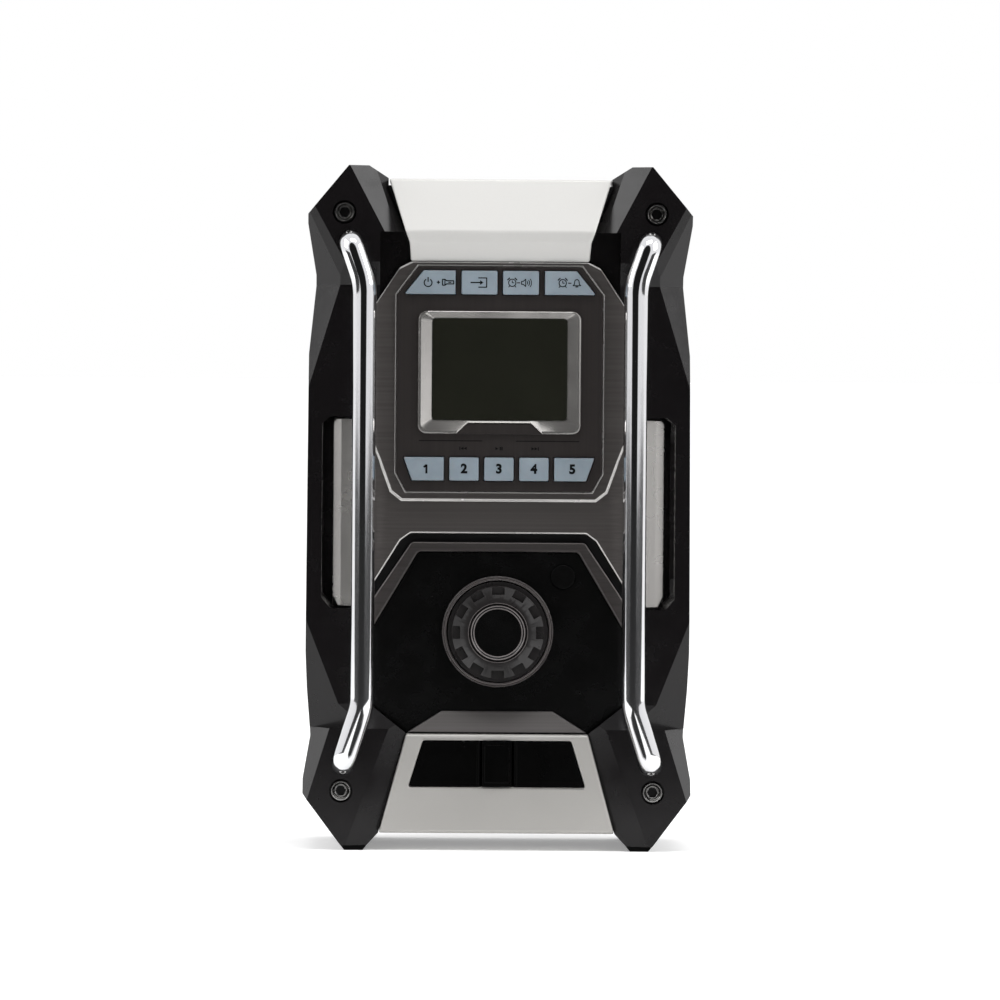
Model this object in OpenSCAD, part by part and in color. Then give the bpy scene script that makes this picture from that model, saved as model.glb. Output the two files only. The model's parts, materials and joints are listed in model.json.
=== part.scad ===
// Upright jobsite radio: a moulded case between two full-height corner guards, with two polished
// bars in front, a display panel with keys, a volume knob, side speakers, a covered socket panel,
// and a battery door, antenna and supply socket at the back.
// Millimetres. X runs across the front, Y from front to back, Z up from the feet.

/* [Case] */
// Width of the case between the guards
case_w = 133; // [131:0.5:136]
// Wall of the moulded housings
wall = 2.5; // [2:0.1:3]
// Depth of the rear cover's rim
cover_d = 14; // [12:0.5:16]
// Underside of the case above the ground
case_rise = 9; // [8:0.5:10]
// Top of the case below the guards' tips
case_drop = 8; // [7:0.5:9]
// Clearance around loose and moving parts
gap = 0.25; // [0.15:0.05:0.35]
// Width of the rubber seal between the case's halves
seal_w = 1; // [0.8:0.1:1.2]

/* [Guards] */
// Thickness of the guards' sides
guard_t = 13.3; // [12:0.1:15]
// Height of the guards' tips above the cap
tip_h = 5.3; // [4:0.1:7]
// How far the guards reach behind the rear cover
guard_lap = 6; // [5.5:0.5:8]
// How far the corner blocks stand in front of the case
corner_t = 10; // [9:0.5:11]
// Thickness of the guards' front rails between the corners
rail_t = 5; // [4:0.5:6]
// Width of the flat tip at each end of a guard
tip_w = 8; // [6:0.5:10]
// Height of the rubber foot pads
pad_t = 2; // [1.5:0.25:3]
// Clearance of the window around each speaker grille
window_gap = 1; // [0.5:0.1:2]
// Depth of the window beside each speaker
window_d = 44; // [40:1:46]

/* [Bars] */
// Diameter of the bars
bar_dia = 9.8; // [8:0.2:10.4]
// Distance of the bars' axes inside the case's sides
bar_inset = 11; // [10:0.2:12.4]
// Gap between the bars and the display frame
bar_clear = 7.2; // [6:0.2:9]
// Angle at which the bars' upper ends flare outwards
flare_top = 19; // [16:0.5:22]
// Angle at which the bars' lower ends flare outwards
flare_low = 17.5; // [15:0.5:20]

/* [Top cap] */
// Height of the cap's face
cap_h = 33.7; // [31:0.1:36]
// Width of the cap's top edge
cap_w = 91.6; // [86:0.2:96]
// Width of the cap's lower edge
cap_low_w = 73.4; // [70:0.2:76]
// How far the cap's fold stands in front of the case
cap_nose = 12; // [9:0.5:13]
// Distance the cap wraps back over the case
cap_wrap = 28; // [20:1:34]

/* [Display panel] */
// Width of the display panel
panel_w = 84.4; // [82:0.2:88]
// Height of the display panel
panel_h = 92.1; // [91:0.1:96]
// How far the display panel stands in front of its frame
panel_rise = 1.5; // [1:0.1:2.5]
// Height of the raised frame around the display panel
frame_rise = 2; // [1.5:0.1:3]
// Thickness of the fascia
fascia_t = 3; // [2.5:0.1:4]
// How far the waist's sides curve back
waist_fall = 2; // [1.2:0.1:2.3]
// Width of the silver bezel around the display
bezel_w = 66.7; // [64:0.1:68]
// Height of the silver bezel around the display
bezel_h = 50.4; // [48:0.1:51]
// Width of the bezel's sides beside the glass
rim_side = 5.55; // [5:0.05:7]
// Width of the bezel below the glass
rim_low = 5.5; // [5:0.1:7]
// Width of the bezel above the glass
rim_top = 3; // [2:0.1:4]

/* [Keys] */
// Height of the four function keys
key_h = 9.7; // [8.5:0.1:10.5]
// Width of the two middle function keys
key_w = 14.65; // [13:0.05:15.5]
// Height of the preset keys
preset_h = 9.5; // [8.5:0.1:10.5]
// Width of the three middle preset keys
preset_w = 12; // [11:0.05:12.6]
// Gap between neighbouring keys
key_gap = 2.35; // [2:0.05:3]
// How far the keys stand in front of the display panel
key_rise = 1.4; // [1:0.1:2]
// Travel of the keys
key_travel = 0.8; // [0.4:0.1:0.9]
// Diameter of the round menu button
menu_dia = 10.2; // [8:0.2:11]

/* [Knob] */
// Diameter of the knob
knob_dia = 41; // [36:0.5:42]
// Diameter of the ring around the knob
ring_dia = 45.6; // [44:0.2:48]
// Height of the knob
knob_h = 13; // [10:0.5:14]
// Diameter of the knob's spindle
spindle_dia = 6; // [5:0.5:7]
// Travel of the knob when it is pushed
knob_travel = 0.7; // [0.4:0.1:0.9]
// Number of finger notches around the knob
notches = 12; // [8:1:16]

/* [Lower panels] */
// Height of the knob panel and its frame, from the chin to the waist
knob_panel_h = 73; // [68:0.2:80]
// Height of the waist between the knob frame and the display panel
waist_h = 17.4; // [15:0.1:24]
// Width of the band that frames the knob panel
band_t = 7.5; // [6.5:0.1:8.5]
// Width of the bare strip between that band and the waist
strip_w = 3.6; // [2.5:0.1:4]
// Height of the bottom panel
low_h = 40.9; // [38:0.1:44]
// Height of the bottom panel's lower edge above the ground
low_rise = 7.1; // [6:0.1:7.5]
// Width of the bottom panel's top edge
low_w = 74.6; // [72:0.2:76]
// Width of the bottom panel's lower edge
low_base_w = 96.6; // [94:0.2:98]
// How far the bottom panel stands in front of the case
low_nose = 9; // [8:0.5:10]
// Height of the chin above the bottom panel
chin_h = 8.6; // [7:0.2:10]

/* [Sockets] */
// Height of the rubber socket cover
flap_h = 18.5; // [17:0.1:19]
// Width of the fixed block between the two flaps
block_w = 14.8; // [12:0.2:16]
// Thickness of the flaps
flap_t = 2.5; // [2:0.1:3]
// Diameter of the audio plug's hole
aux_dia = 3.6; // [3.55:0.01:3.65]
// Diameter of the supply plug's hole
dc_dia = 5.7; // [5.6:0.05:6.5]

/* [Speakers] */
// Outer diameter of the speakers
speaker_dia = 54; // [48:0.5:54]
// Depth of the speakers
speaker_d = 23; // [18:0.5:24]
// Height of the speakers' axis above the waist's lower edge
speaker_rise = 8.4; // [6:0.2:11]
// Height of the speaker grilles
grille_h = 76.9; // [70:0.1:80]
// Thickness of the speaker grilles
grille_t = 1.5; // [1.2:0.1:2]
// How far the grilles' lips stand in front of the case
lip_t = 3; // [2.4:0.1:3.4]
// How far the lips fall back towards their outer bevel
lip_lean = 1; // [0.6:0.1:1.2]
// Width of the bevel along the outer edge of each lip
lip_bevel = 3.3; // [2:0.1:4]

/* [Battery] */
// Width of the battery door
door_w = 72; // [66:0.5:74]
// Height of the battery door
door_h = 112; // [100:1:116]
// Height of the door's hinge above the feet
door_z = 64; // [60:1:70]
// Thickness of the battery door
door_t = 2.5; // [2:0.1:3]
// Depth of the battery bay
bay_d = 32; // [28:0.5:33]
// Travel of the door's latch
latch_travel = 3; // [2:0.5:4]

/* [Antenna] */
// Length of the antenna from its pivot
rod_len = 98; // [80:1:100]
// Diameter of the antenna
rod_dia = 3.6; // [3:0.2:4]

/* [Fasteners] */
// Diameter of the guard screws' shanks
screw_dia = 3; // [2.5:0.1:3.4]
// Diameter of the guard screws' heads
head_dia = 8.7; // [8:0.1:9]
// Diameter of the rear screws' shanks
rear_screw_dia = 3; // [2.5:0.1:3.5]

/* [Hidden] */
$fn = 64;
far = 400;      // reach of cutting shapes

seam = 0.6;     // joint line between neighbouring panels

// Depths, from the bars' fronts to the guards' backs
speaker_room = 1.5;
shell_d = wall + speaker_dia + speaker_room;
body_d = bar_dia + bar_clear + frame_rise + fascia_t + shell_d + cover_d + guard_lap;
front_y = -body_d / 2;
back_y = body_d / 2;
bar_y = front_y + bar_dia / 2;
frame_y = front_y + bar_dia + bar_clear;
fascia_y = frame_y + frame_rise;
case_y = fascia_y + fascia_t;
inner_y = case_y + wall;
split_y = case_y + shell_d;
cover_y = split_y + cover_d;
corner_y = case_y - corner_t;
rail_y = case_y - rail_t;
panel_y = frame_y - panel_rise;

// Widths
case_x = case_w / 2;
half_w = case_x + guard_t;
bar_x = case_x - bar_inset;

// Heights, from the ground up
low_top = low_rise + low_h;
chin_top = low_top + seam + chin_h;
waist_z = chin_top + knob_panel_h;
panel_low = waist_z + waist_h;
panel_top = panel_low + panel_h;
cap_low = panel_top + 2.3;
cap_top = cap_low + cap_h;
body_h = cap_top + tip_h;
case_top = body_h - case_drop;
knob_z = (chin_top + waist_z - band_t) / 2;
speaker_z = waist_z + speaker_rise;

// Colours
black = [0.09, 0.09, 0.10];
dark = [0.17, 0.17, 0.18];
brushed = [0.32, 0.32, 0.33];
silver = [0.78, 0.78, 0.79];
chrome = [0.88, 0.89, 0.91];
rubber = [0.06, 0.06, 0.06];
key_blue = [0.64, 0.70, 0.76];
board_green = [0.10, 0.35, 0.20];

// ---- Building shapes ----------------------------------------------------------------------

// An outline in X and Z, as a slab from y0 back to y1
module slab(y0, y1) translate([0, y1, 0]) rotate([90, 0, 0]) linear_extrude(y1 - y0) children();

// An outline in Y and Z, as a slab from x0 to x1
module side_slab(x0, x1) translate([x0, 0, 0]) rotate([90, 0, 90]) linear_extrude(x1 - x0) children();

// A box given by its corners
module block(low, high) translate(low) cube(high - low);

// A cylinder along +Y from p
module rod_y(p, r, len) translate(p) rotate([-90, 0, 0]) cylinder(h = len, r = r);

// A cylinder along +X from p
module rod_x(p, r, len) translate(p) rotate([0, 90, 0]) cylinder(h = len, r = r);

// A cylinder along +Z from p
module rod_z(p, r, len) translate(p) cylinder(h = len, r = r);

// Everything in front of the plane through three points of a guard's surface, from z0 up to z1
module beyond(a, b, c, z0 = -1, z1 = far) {
    m = cross(b - a, c - a);
    n = m * ([half_w - 8, back_y, a.z] - a) > 0 ? -m : m;
    intersection() {
        translate(a) rotate([0, acos(n.z / norm(n)), atan2(n.y, n.x)])
            translate([-far / 2, -far / 2, 0]) cube(far);
        block([-1, -far, z0], [far, far, z1]);
    }
}

// The right-hand half outline p, from the bottom up, joined to its mirror image
function paired(p) = concat(p, [for (i = [len(p) - 1:-1:0]) [-p[i].x, p[i].y]]);

// The anticlockwise outline p with every edge moved outwards by d
function grown(p, d) = [for (i = [0:len(p) - 1])
    let (b = p[i], u = b - p[(i + len(p) - 1) % len(p)], v = p[(i + 1) % len(p)] - b,
        m = [u.y, -u.x] / norm(u) + [v.y, -v.x] / norm(v)) b + m * 2 * d / (m * m)];

// A rectangle from low to high with its corners cut by c
function cut_box(low, high, c) = [[low.x + c, low.y], [high.x - c, low.y], [high.x, low.y + c],
    [high.x, high.y - c], [high.x - c, high.y], [low.x + c, high.y], [low.x, high.y - c],
    [low.x, low.y + c]];

// The height on the line from a to b at x
function on_line(a, b, x) = a.y + (b.y - a.y) * (x - a.x) / (b.x - a.x);

module left() mirror([1, 0, 0]) children();

// ---- Outlines shared by neighbouring parts ------------------------------------------------

// Right edge of the top cap, from the bottom up
cap_fold = cap_top - 21.8;
cap_break = cap_low + 7.6;
cap_fold_x = cap_low_w / 2 + 2.1;
cap_edge = [[cap_low_w / 2, cap_low], [cap_low_w / 2 + 0.5, cap_break], [cap_fold_x, cap_fold],
    [cap_w / 2, cap_top]];

// Right edge of the bottom panel, from the bottom up
low_edge = [[low_base_w / 2, low_rise], [low_w / 2, low_top]];

// The fascia's sides lie under the bars, and its shoulders slope in to the cap
fascia_x = bar_x + bar_dia / 2 - 0.4;
shoulder_a = [panel_w / 2 - 1, panel_top - 0.4];
shoulder_b = [panel_w / 2 + 7.1, panel_top - 12.7];

// The knob frame's upper edge, from the middle outwards, and the fascia's lower edge above it
frame_low = [[panel_w / 2 - 6.1, waist_z], [panel_w / 2 - 2, waist_z - 3],
    [panel_w / 2 + 7.1, waist_z - 17.7]];
frame_out = on_line(frame_low[1], frame_low[2], fascia_x);
fascia_edge = concat(frame_low, [[fascia_x, frame_out],
    [fascia_x, on_line(shoulder_a, shoulder_b, fascia_x)], shoulder_a,
    [cap_low_w / 2 - 0.4, cap_low - gap]]);

// The knob panel's upper edge, from the middle outwards
knob_edge = [[panel_w / 2 - 9.4, waist_z - band_t], [panel_w / 2 + 7.9, waist_z - band_t - 29.2]];
knob_out = on_line(knob_edge[0], knob_edge[1], fascia_x);

// The line where the lower wings of the guards meet the knob panel
wing_a = [low_w / 2 + seam, low_top + seam];
wing_b = [fascia_x + 0.3, low_top + 18];

// Right half of the display panel
panel_edge = [[panel_w / 2 - 4, panel_low], [panel_w / 2, panel_low + 7.4],
    [panel_w / 2, panel_top - 11.5], [panel_w / 2 - 8.6, panel_top]];

// Right half of the raised frame around the display panel
frame_edge = [[panel_w / 2 - 2.4, panel_low - 3.7], [panel_w / 2 + 2.1, panel_low - 0.2],
    [panel_w / 2 + 7.1, panel_low + 13.6], [fascia_x - 2, panel_low + 34.9],
    [fascia_x - 2, on_line(shoulder_a, shoulder_b, fascia_x - 2)], shoulder_a,
    [cap_low_w / 2 - 0.4, cap_low - gap]];

// ---- Keys ---------------------------------------------------------------------------------

key_top = panel_top - 1.6;
key_low = key_top - key_h;
preset_low = panel_low + 4.4;
preset_top = preset_low + preset_h;
stem_end = case_y - key_travel - 0.1;
board_y = inner_y + 1;
key_out_x = key_gap * 1.5 + key_w;
preset_out_x = preset_w * 1.5 + key_gap * 2;
function key_slot(i) = (i - 1.5) * (key_w + key_gap);
function preset_slot(i) = (i - 2) * (preset_w + key_gap);

// Outline of function key i, 0 to 3 from the left; the outer two end in a slope
function key_shape(i) = i == 1 || i == 2
    ? cut_box([key_slot(i) - key_w / 2, key_low], [key_slot(i) + key_w / 2, key_top], 0.4)
    : let (s = i == 0 ? -1 : 1, p = [[key_out_x + 0.2, key_low], [key_out_x + 20.6, key_low],
        [key_out_x + 20.6, key_low + 0.6], [key_out_x + 13.2, key_top], [key_out_x + 0.2, key_top]])
        s > 0 ? p : [for (k = [len(p) - 1:-1:0]) [-p[k].x, p[k].y]];

// Outline of preset key i, 0 to 4 from the left; the outer two end in a slope
function preset_shape(i) = i > 0 && i < 4
    ? cut_box([preset_slot(i) - preset_w / 2, preset_low], [preset_slot(i) + preset_w / 2, preset_top], 0.4)
    : let (s = i == 0 ? -1 : 1, p = [[preset_out_x, preset_low], [preset_out_x + 13, preset_low],
        [preset_out_x + 16.2, preset_top - 0.6], [preset_out_x + 16.2, preset_top],
        [preset_out_x, preset_top]])
        s > 0 ? p : [for (k = [len(p) - 1:-1:0]) [-p[k].x, p[k].y]];

// Where each key presses its switch
function key_press(i) = [i == 0 ? -key_out_x - 9 : i == 3 ? key_out_x + 9 : key_slot(i),
    (key_low + key_top) / 2];
function preset_press(i) = [i == 0 ? -preset_out_x - 8 : i == 4 ? preset_out_x + 8 : preset_slot(i),
    (preset_low + preset_top) / 2];

// A key cap with a flange behind the panel and a stem in front of its switch
module key(shape, press) {
    slab(panel_y - key_rise, fascia_y + 0.1) polygon(shape);
    slab(fascia_y + 0.1, fascia_y + 1.1) polygon(grown(shape, 0.6));
    block([press.x - 2, fascia_y + 1, press.y - 2], [press.x + 2, stem_end, press.y + 2]);
}

module function_key(i) color(key_blue) key(key_shape(i), key_press(i));
module preset_key(i) color(key_blue) key(preset_shape(i), preset_press(i));

// The round button beside the knob, in front of a low switch
menu_x = 26.7;
menu_z = knob_z + 22.6;
menu_switch_t = 1.2;
knob_panel_y = case_y - 2.5;
module menu_button() color(dark) {
    rod_y([menu_x, knob_panel_y - 0.9, menu_z], menu_dia / 2 - gap, 3.5);
    rod_y([menu_x, case_y + 0.1, menu_z], menu_dia / 2 + 0.8, 1);
    rod_y([menu_x, case_y + 1, menu_z], 2, board_y - menu_switch_t - key_travel - 0.1 - case_y - 1);
}

// ---- Guards -------------------------------------------------------------------------------

// Outline of the right-hand guard, anticlockwise from the inside of its foot
foot_x = half_w - 17.3;
tip_x = half_w - 17.5;
guard_shape = [[foot_x - tip_w - 1.2, pad_t], [foot_x + 1.5, pad_t], [half_w, 23], [half_w, 29],
    [half_w - 3, 46.5], [half_w - 1.5, 66], [half_w - 0.9, 81], [half_w - 1.5, body_h - 77.4],
    [half_w - 4.3, body_h - 49.5], [half_w - 4.3, body_h - 45], [half_w - 0.9, body_h - 24],
    [half_w - 0.9, body_h - 20], [tip_x, body_h], [tip_x - tip_w - 0.3, body_h],
    cap_edge[3] + [gap, 0.3], cap_edge[2] + [gap, 0], cap_edge[1] + [gap, 0],
    [cap_edge[0].x + gap, cap_low - gap], shoulder_a + [gap, 0.4],
    [fascia_x + gap, on_line(shoulder_a, shoulder_b, fascia_x)], [fascia_x + gap, wing_b.y],
    wing_a, low_edge[1] + [gap, 0], low_edge[0] + [gap, 0]];

// Profile of a guard seen from the side, anticlockwise: corner blocks with a shallower rail between
guard_side = [[corner_y, 0], [back_y - 8, 0], [back_y, 12], [back_y, 62], [back_y - guard_lap, 78],
    [back_y - guard_lap, body_h - 78], [back_y, body_h - 62], [back_y, body_h - 12],
    [back_y - 8, body_h], [corner_y, body_h], [corner_y, body_h - 39.5], [rail_y, body_h - 49],
    [rail_y, 60], [corner_y, 50]];

// Rear corners keep clear of the antenna's swing
rear_x = case_x - 10.5;
rail_in = case_x - 1;
grille_low = speaker_z - grille_h / 2;
grille_high = speaker_z + grille_h / 2;
window_low = grille_low - window_gap;
window_high = grille_high + window_gap;
window_y = (inner_y + split_y) / 2;
grille_x = case_x + grille_t;

// The window that opens the rail around the speaker grille, in front view
window_shape = [[0, window_low], [grille_x + 0.8, window_low], [grille_x + 4.6, window_low + 4.5],
    [grille_x + 4.6, window_high - 3], [grille_x + 1, window_high], [0, window_high]];

// Corner screws and bar ends on the guards' front faces
screw_x = case_x - 2.5;
screw_low_z = 24.4;
screw_top_z = body_h - 19.3;
head_y = corner_y + 4;
head_t = 3.4;
head_room = 0.5;
socket_r = 2.3;

// Inner edge of the front rails, and the notches where the corners' facets meet the rails' facets
edge_x = case_x - 0.9;
notch_x = half_w - 4.3;
notch_top = body_h - 49;
notch_low = 50;

module guard_facets() {
    // Upper corner: outer bevel, then a facet above and a facet below the notch
    beyond([half_w - 5.4, corner_y, body_h - 20], [half_w - 13.9, corner_y, body_h - 35.5],
        [half_w - 7.8, corner_y + 2.6, body_h - 32.2], body_h - 44.4);
    beyond([edge_x, rail_y, notch_top], [notch_x, rail_y + 9.9, notch_top],
        [half_w - 7.8, corner_y + 2.6, body_h - 32.2], notch_top);
    beyond([edge_x, rail_y, notch_top], [notch_x, rail_y + 9.9, notch_top],
        [half_w - 1.9, rail_y, body_h - 89.7], 0, notch_top);
    // Lower corner: a facet above and a facet below the notch
    beyond([edge_x + 0.5, rail_y, 62], [half_w - 1.6, rail_y, 92.8],
        [notch_x, rail_y + 9.2, notch_low], notch_low);
    beyond([half_w - 11.3, corner_y, 51], [half_w - 2.6, corner_y, 23],
        [notch_x, rail_y + 9.2, notch_low], 0, notch_low);
    // The light facets beside the cap: a bevel along the front edge and a steeper one inside it
    beyond([tip_x - 0.5, corner_y, body_h], [half_w - 32.3, corner_y, cap_fold],
        [half_w - 37.3, corner_y + 3.5, cap_fold]);
    beyond([tip_x - tip_w - 0.5, corner_y + 3.5, body_h], [half_w - 37.3, corner_y + 3.5, cap_fold],
        [cap_fold_x, corner_y + 9.5, cap_fold]);
    // The facets beside the bottom panel
    beyond([low_edge[0].x + 12, corner_y, low_rise], [low_edge[0].x, corner_y + 4, low_rise],
        [low_edge[1].x + 8, corner_y, low_top]);
}

module guard() color(black) difference() {
    intersection() {
        slab(corner_y, back_y) polygon(guard_shape);
        side_slab(0, far) polygon(guard_side);
    }
    guard_facets();
    // Seat on the case, with the front rail lapping the case's edge
    block([0, case_y, case_rise], [case_x, cover_y, case_top]);
    block([0, case_y - 0.01, 62], [rail_in, case_y + 1, body_h - 60]);
    // Hollow below the cap's fold, and the step down to the knob panel's lower corner
    block([cap_fold_x - 6, corner_y - 1, body_h - 60], [half_w - 30.5, case_y - 2, cap_fold]);
    // The rear corners stay clear of the antenna, and the case's top and underside stay open
    block([0, case_y + cap_wrap, case_top - 0.01], [rear_x, back_y + 1, body_h + 1]);
    block([0, cover_y - 0.01, 0], [rear_x, back_y + 1, body_h + 1]);
    block([0, case_y, case_top - 1], [cap_edge[3].x + gap, back_y, body_h + 1]);
    // Window around the speaker
    slab(corner_y - 1, split_y - 1.5) polygon(window_shape);
    side_slab(case_x, far) polygon(cut_box([window_y - window_d / 2, window_low + 4],
        [window_y + window_d / 2, window_high - 4], 7));
    // Seats of the corner screws
    for (z = [screw_low_z, screw_top_z]) {
        rod_y([screw_x, corner_y - 1, z], head_dia / 2 + head_room, head_y - corner_y + 1);
        rod_y([screw_x, corner_y, z], screw_dia / 2 + 0.05, corner_t + 2);
    }
    // Sockets for the bar's ends
    for (end = [bar_low_end, bar_top_end])
        rod_y([end.x, corner_y - 5, end.z], bar_dia / 2 + 0.05, spigot + 5);
}

module left_guard() left() guard();
module right_guard() guard();

// Rubber pads that continue the feet down to the ground
pad_y = [[corner_y + 2, corner_y + 26], [back_y - 36, back_y - 10]];
module foot_pads() color(rubber) for (m = [0, 1], y = pad_y)
    mirror([m, 0, 0]) slab(y[0], y[1]) polygon([[foot_x - tip_w + 0.4, 0], [foot_x, 0],
        [foot_x + 1.5, pad_t], [foot_x - tip_w - 1.2, pad_t]]);

// ---- Bars ---------------------------------------------------------------------------------

spigot = 7.5;
bend_r = 5.3;
top_bend_r = 30;
low_bend_r = 20;
bar_low_z = 63;
bar_top_z = body_h - 53.5;
top_run = 8.2;
low_run = 17;

// The flares lean back as well, until the lower ones nearly touch the guards
bar_room = 0.5;
flare_back = atan((bar_clear + frame_rise + fascia_t - corner_t - bar_room) / (low_run + 3));

// A vector across the direction way, as it turns by t towards the direction to
function turned(v, way, to, t) = v + v * to * ((cos(t) - 1) * to - sin(t) * way);

// Rings along an arc that starts at p in the direction way and bends towards the direction to;
// each ring is its centre and two vectors across the bar
function bent(p, way, to, r, angle, steps, u, v) = [for (i = [0:steps]) let (t = angle * i / steps)
    [p + r * (sin(t) * way + (1 - cos(t)) * to), turned(u, way, to, t), turned(v, way, to, t)]];

// Rings along one end of a bar; up is 1 or -1. The bar flares outwards by turn, runs on, and then
// bends straight back into its guard
bar_sides = 20;
flare_steps = 5;
bend_steps = 6;
function bar_end(z, up, bend, turn, run) = let (v = [tan(turn), tan(flare_back), up], way = v / norm(v),
    flare = acos(abs(way.z)), to = [way.x, way.y, 0] / sin(flare),
    rings = bent([bar_x, bar_y, z], [0, 0, up], to, bend, flare, flare_steps, [0, 1, 0], [1, 0, 0]),
    first = rings[flare_steps], fold = acos(way.y), back = ([0, 1, 0] - way.y * way) / sin(fold),
    more = bent(first[0] + run * way, way, back, bend_r, fold, bend_steps, first[1], first[2]),
    last = more[bend_steps])
    concat(rings, more, [[[last[0].x, corner_y + spigot, last[0].z], last[1], last[2]]]);
low_rings = bar_end(bar_low_z, -1, low_bend_r, flare_low, low_run);
top_rings = bar_end(bar_top_z, 1, top_bend_r, flare_top, top_run);
bar_low_end = low_rings[len(low_rings) - 1][0];
bar_top_end = top_rings[len(top_rings) - 1][0];

module bar() color(chrome) {
    rings = concat([for (i = [len(low_rings) - 1:-1:0]) low_rings[i]], top_rings);
    n = bar_sides;
    polyhedron([for (r = rings, j = [0:n - 1])
            r[0] + bar_dia / 2 * (cos(360 * j / n) * r[1] + sin(360 * j / n) * r[2])],
        concat([[for (j = [0:n - 1]) j]], [[for (j = [n - 1:-1:0]) (len(rings) - 1) * n + j]],
            [for (i = [0:len(rings) - 2], j = [0:n - 1]) let (k = (j + 1) % n)
                [i * n + j, (i + 1) * n + j, (i + 1) * n + k, i * n + k]]));
}

module left_bar() left() bar();
module right_bar() bar();

// ---- Case ---------------------------------------------------------------------------------

// Places of the screws that join the case's halves, right-hand side
rear_screw_x = case_x - 8;
rear_screw_z = [case_rise + 14, speaker_z - speaker_dia / 2 - 12, case_top - 24];

// Places of the main board's posts, right-hand side
board_x = case_x - 30.5;
board_low = low_top + 14;
board_top = waist_z + 12;
main_board_y = cover_y - bay_d - 10;
post_x = board_x - 3;
post_z = [board_low + 8, board_top - 4];
board_t = 1.6;

// Places of the key board's pads, right-hand side
pad_x = panel_w / 2 + 1.6;
pad_z = [panel_low + 12, panel_top - 14];

bay_y = cover_y - bay_d;
bay_low = door_z + 3;
bay_high = door_z + door_h - 4;
torch_y = 14;
torch_r = 7;
vent_w = 44;

module front_housing() color(black) {
    difference() {
        block([-case_x, case_y, case_rise], [case_x, split_y, case_top]);
        block([-case_x + wall, inner_y, case_rise + wall], [case_x - wall, split_y + 1, case_top - wall]);
        // Openings behind the display panel, the knob, the menu button and the sockets
        slab(case_y - 1, inner_y + 1) polygon(panel_hole(2));
        rod_y([0, case_y - 1, knob_z], spindle_dia / 2 + 2, wall + 2);
        rod_y([menu_x, case_y - 1, menu_z], menu_dia / 2 + 1.4, wall + 2);
        for (x = [-socket_x, socket_x]) block([x - 9, case_y - 1, socket_z - 4.5],
            [x + 9, inner_y + 1, socket_z + 4.5]);
        // Mouths of the speakers
        for (x = [-case_x - 1, case_x - wall - 1])
            rod_x([x, window_y, speaker_z], speaker_dia / 2 - 3, wall + 2);
        rod_z([0, torch_y, case_top - wall - 1], torch_r - 2, wall + 2);
        rod_z([0, torch_y, case_top - 1.2], torch_r + gap, 2);
        for (m = [-1, 1], z = [screw_low_z, screw_top_z])
            rod_y([m * screw_x, case_y - 1, z], screw_dia / 2 + 0.05, wall + 2);
    }
    // Bosses for the rear screws and the guard screws
    for (m = [-1, 1], z = rear_screw_z) difference() {
        rod_y([m * rear_screw_x, inner_y - 0.1, z], 4, split_y - inner_y + 0.1);
        rod_y([m * rear_screw_x, split_y - 12, z], rear_screw_dia / 2 + 0.05, 13);
    }
    // Pads under the key board
    for (m = [-1, 1], z = pad_z) rod_y([m * pad_x, inner_y - 0.1, z], 2, board_y - inner_y + 0.1);
}

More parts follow.
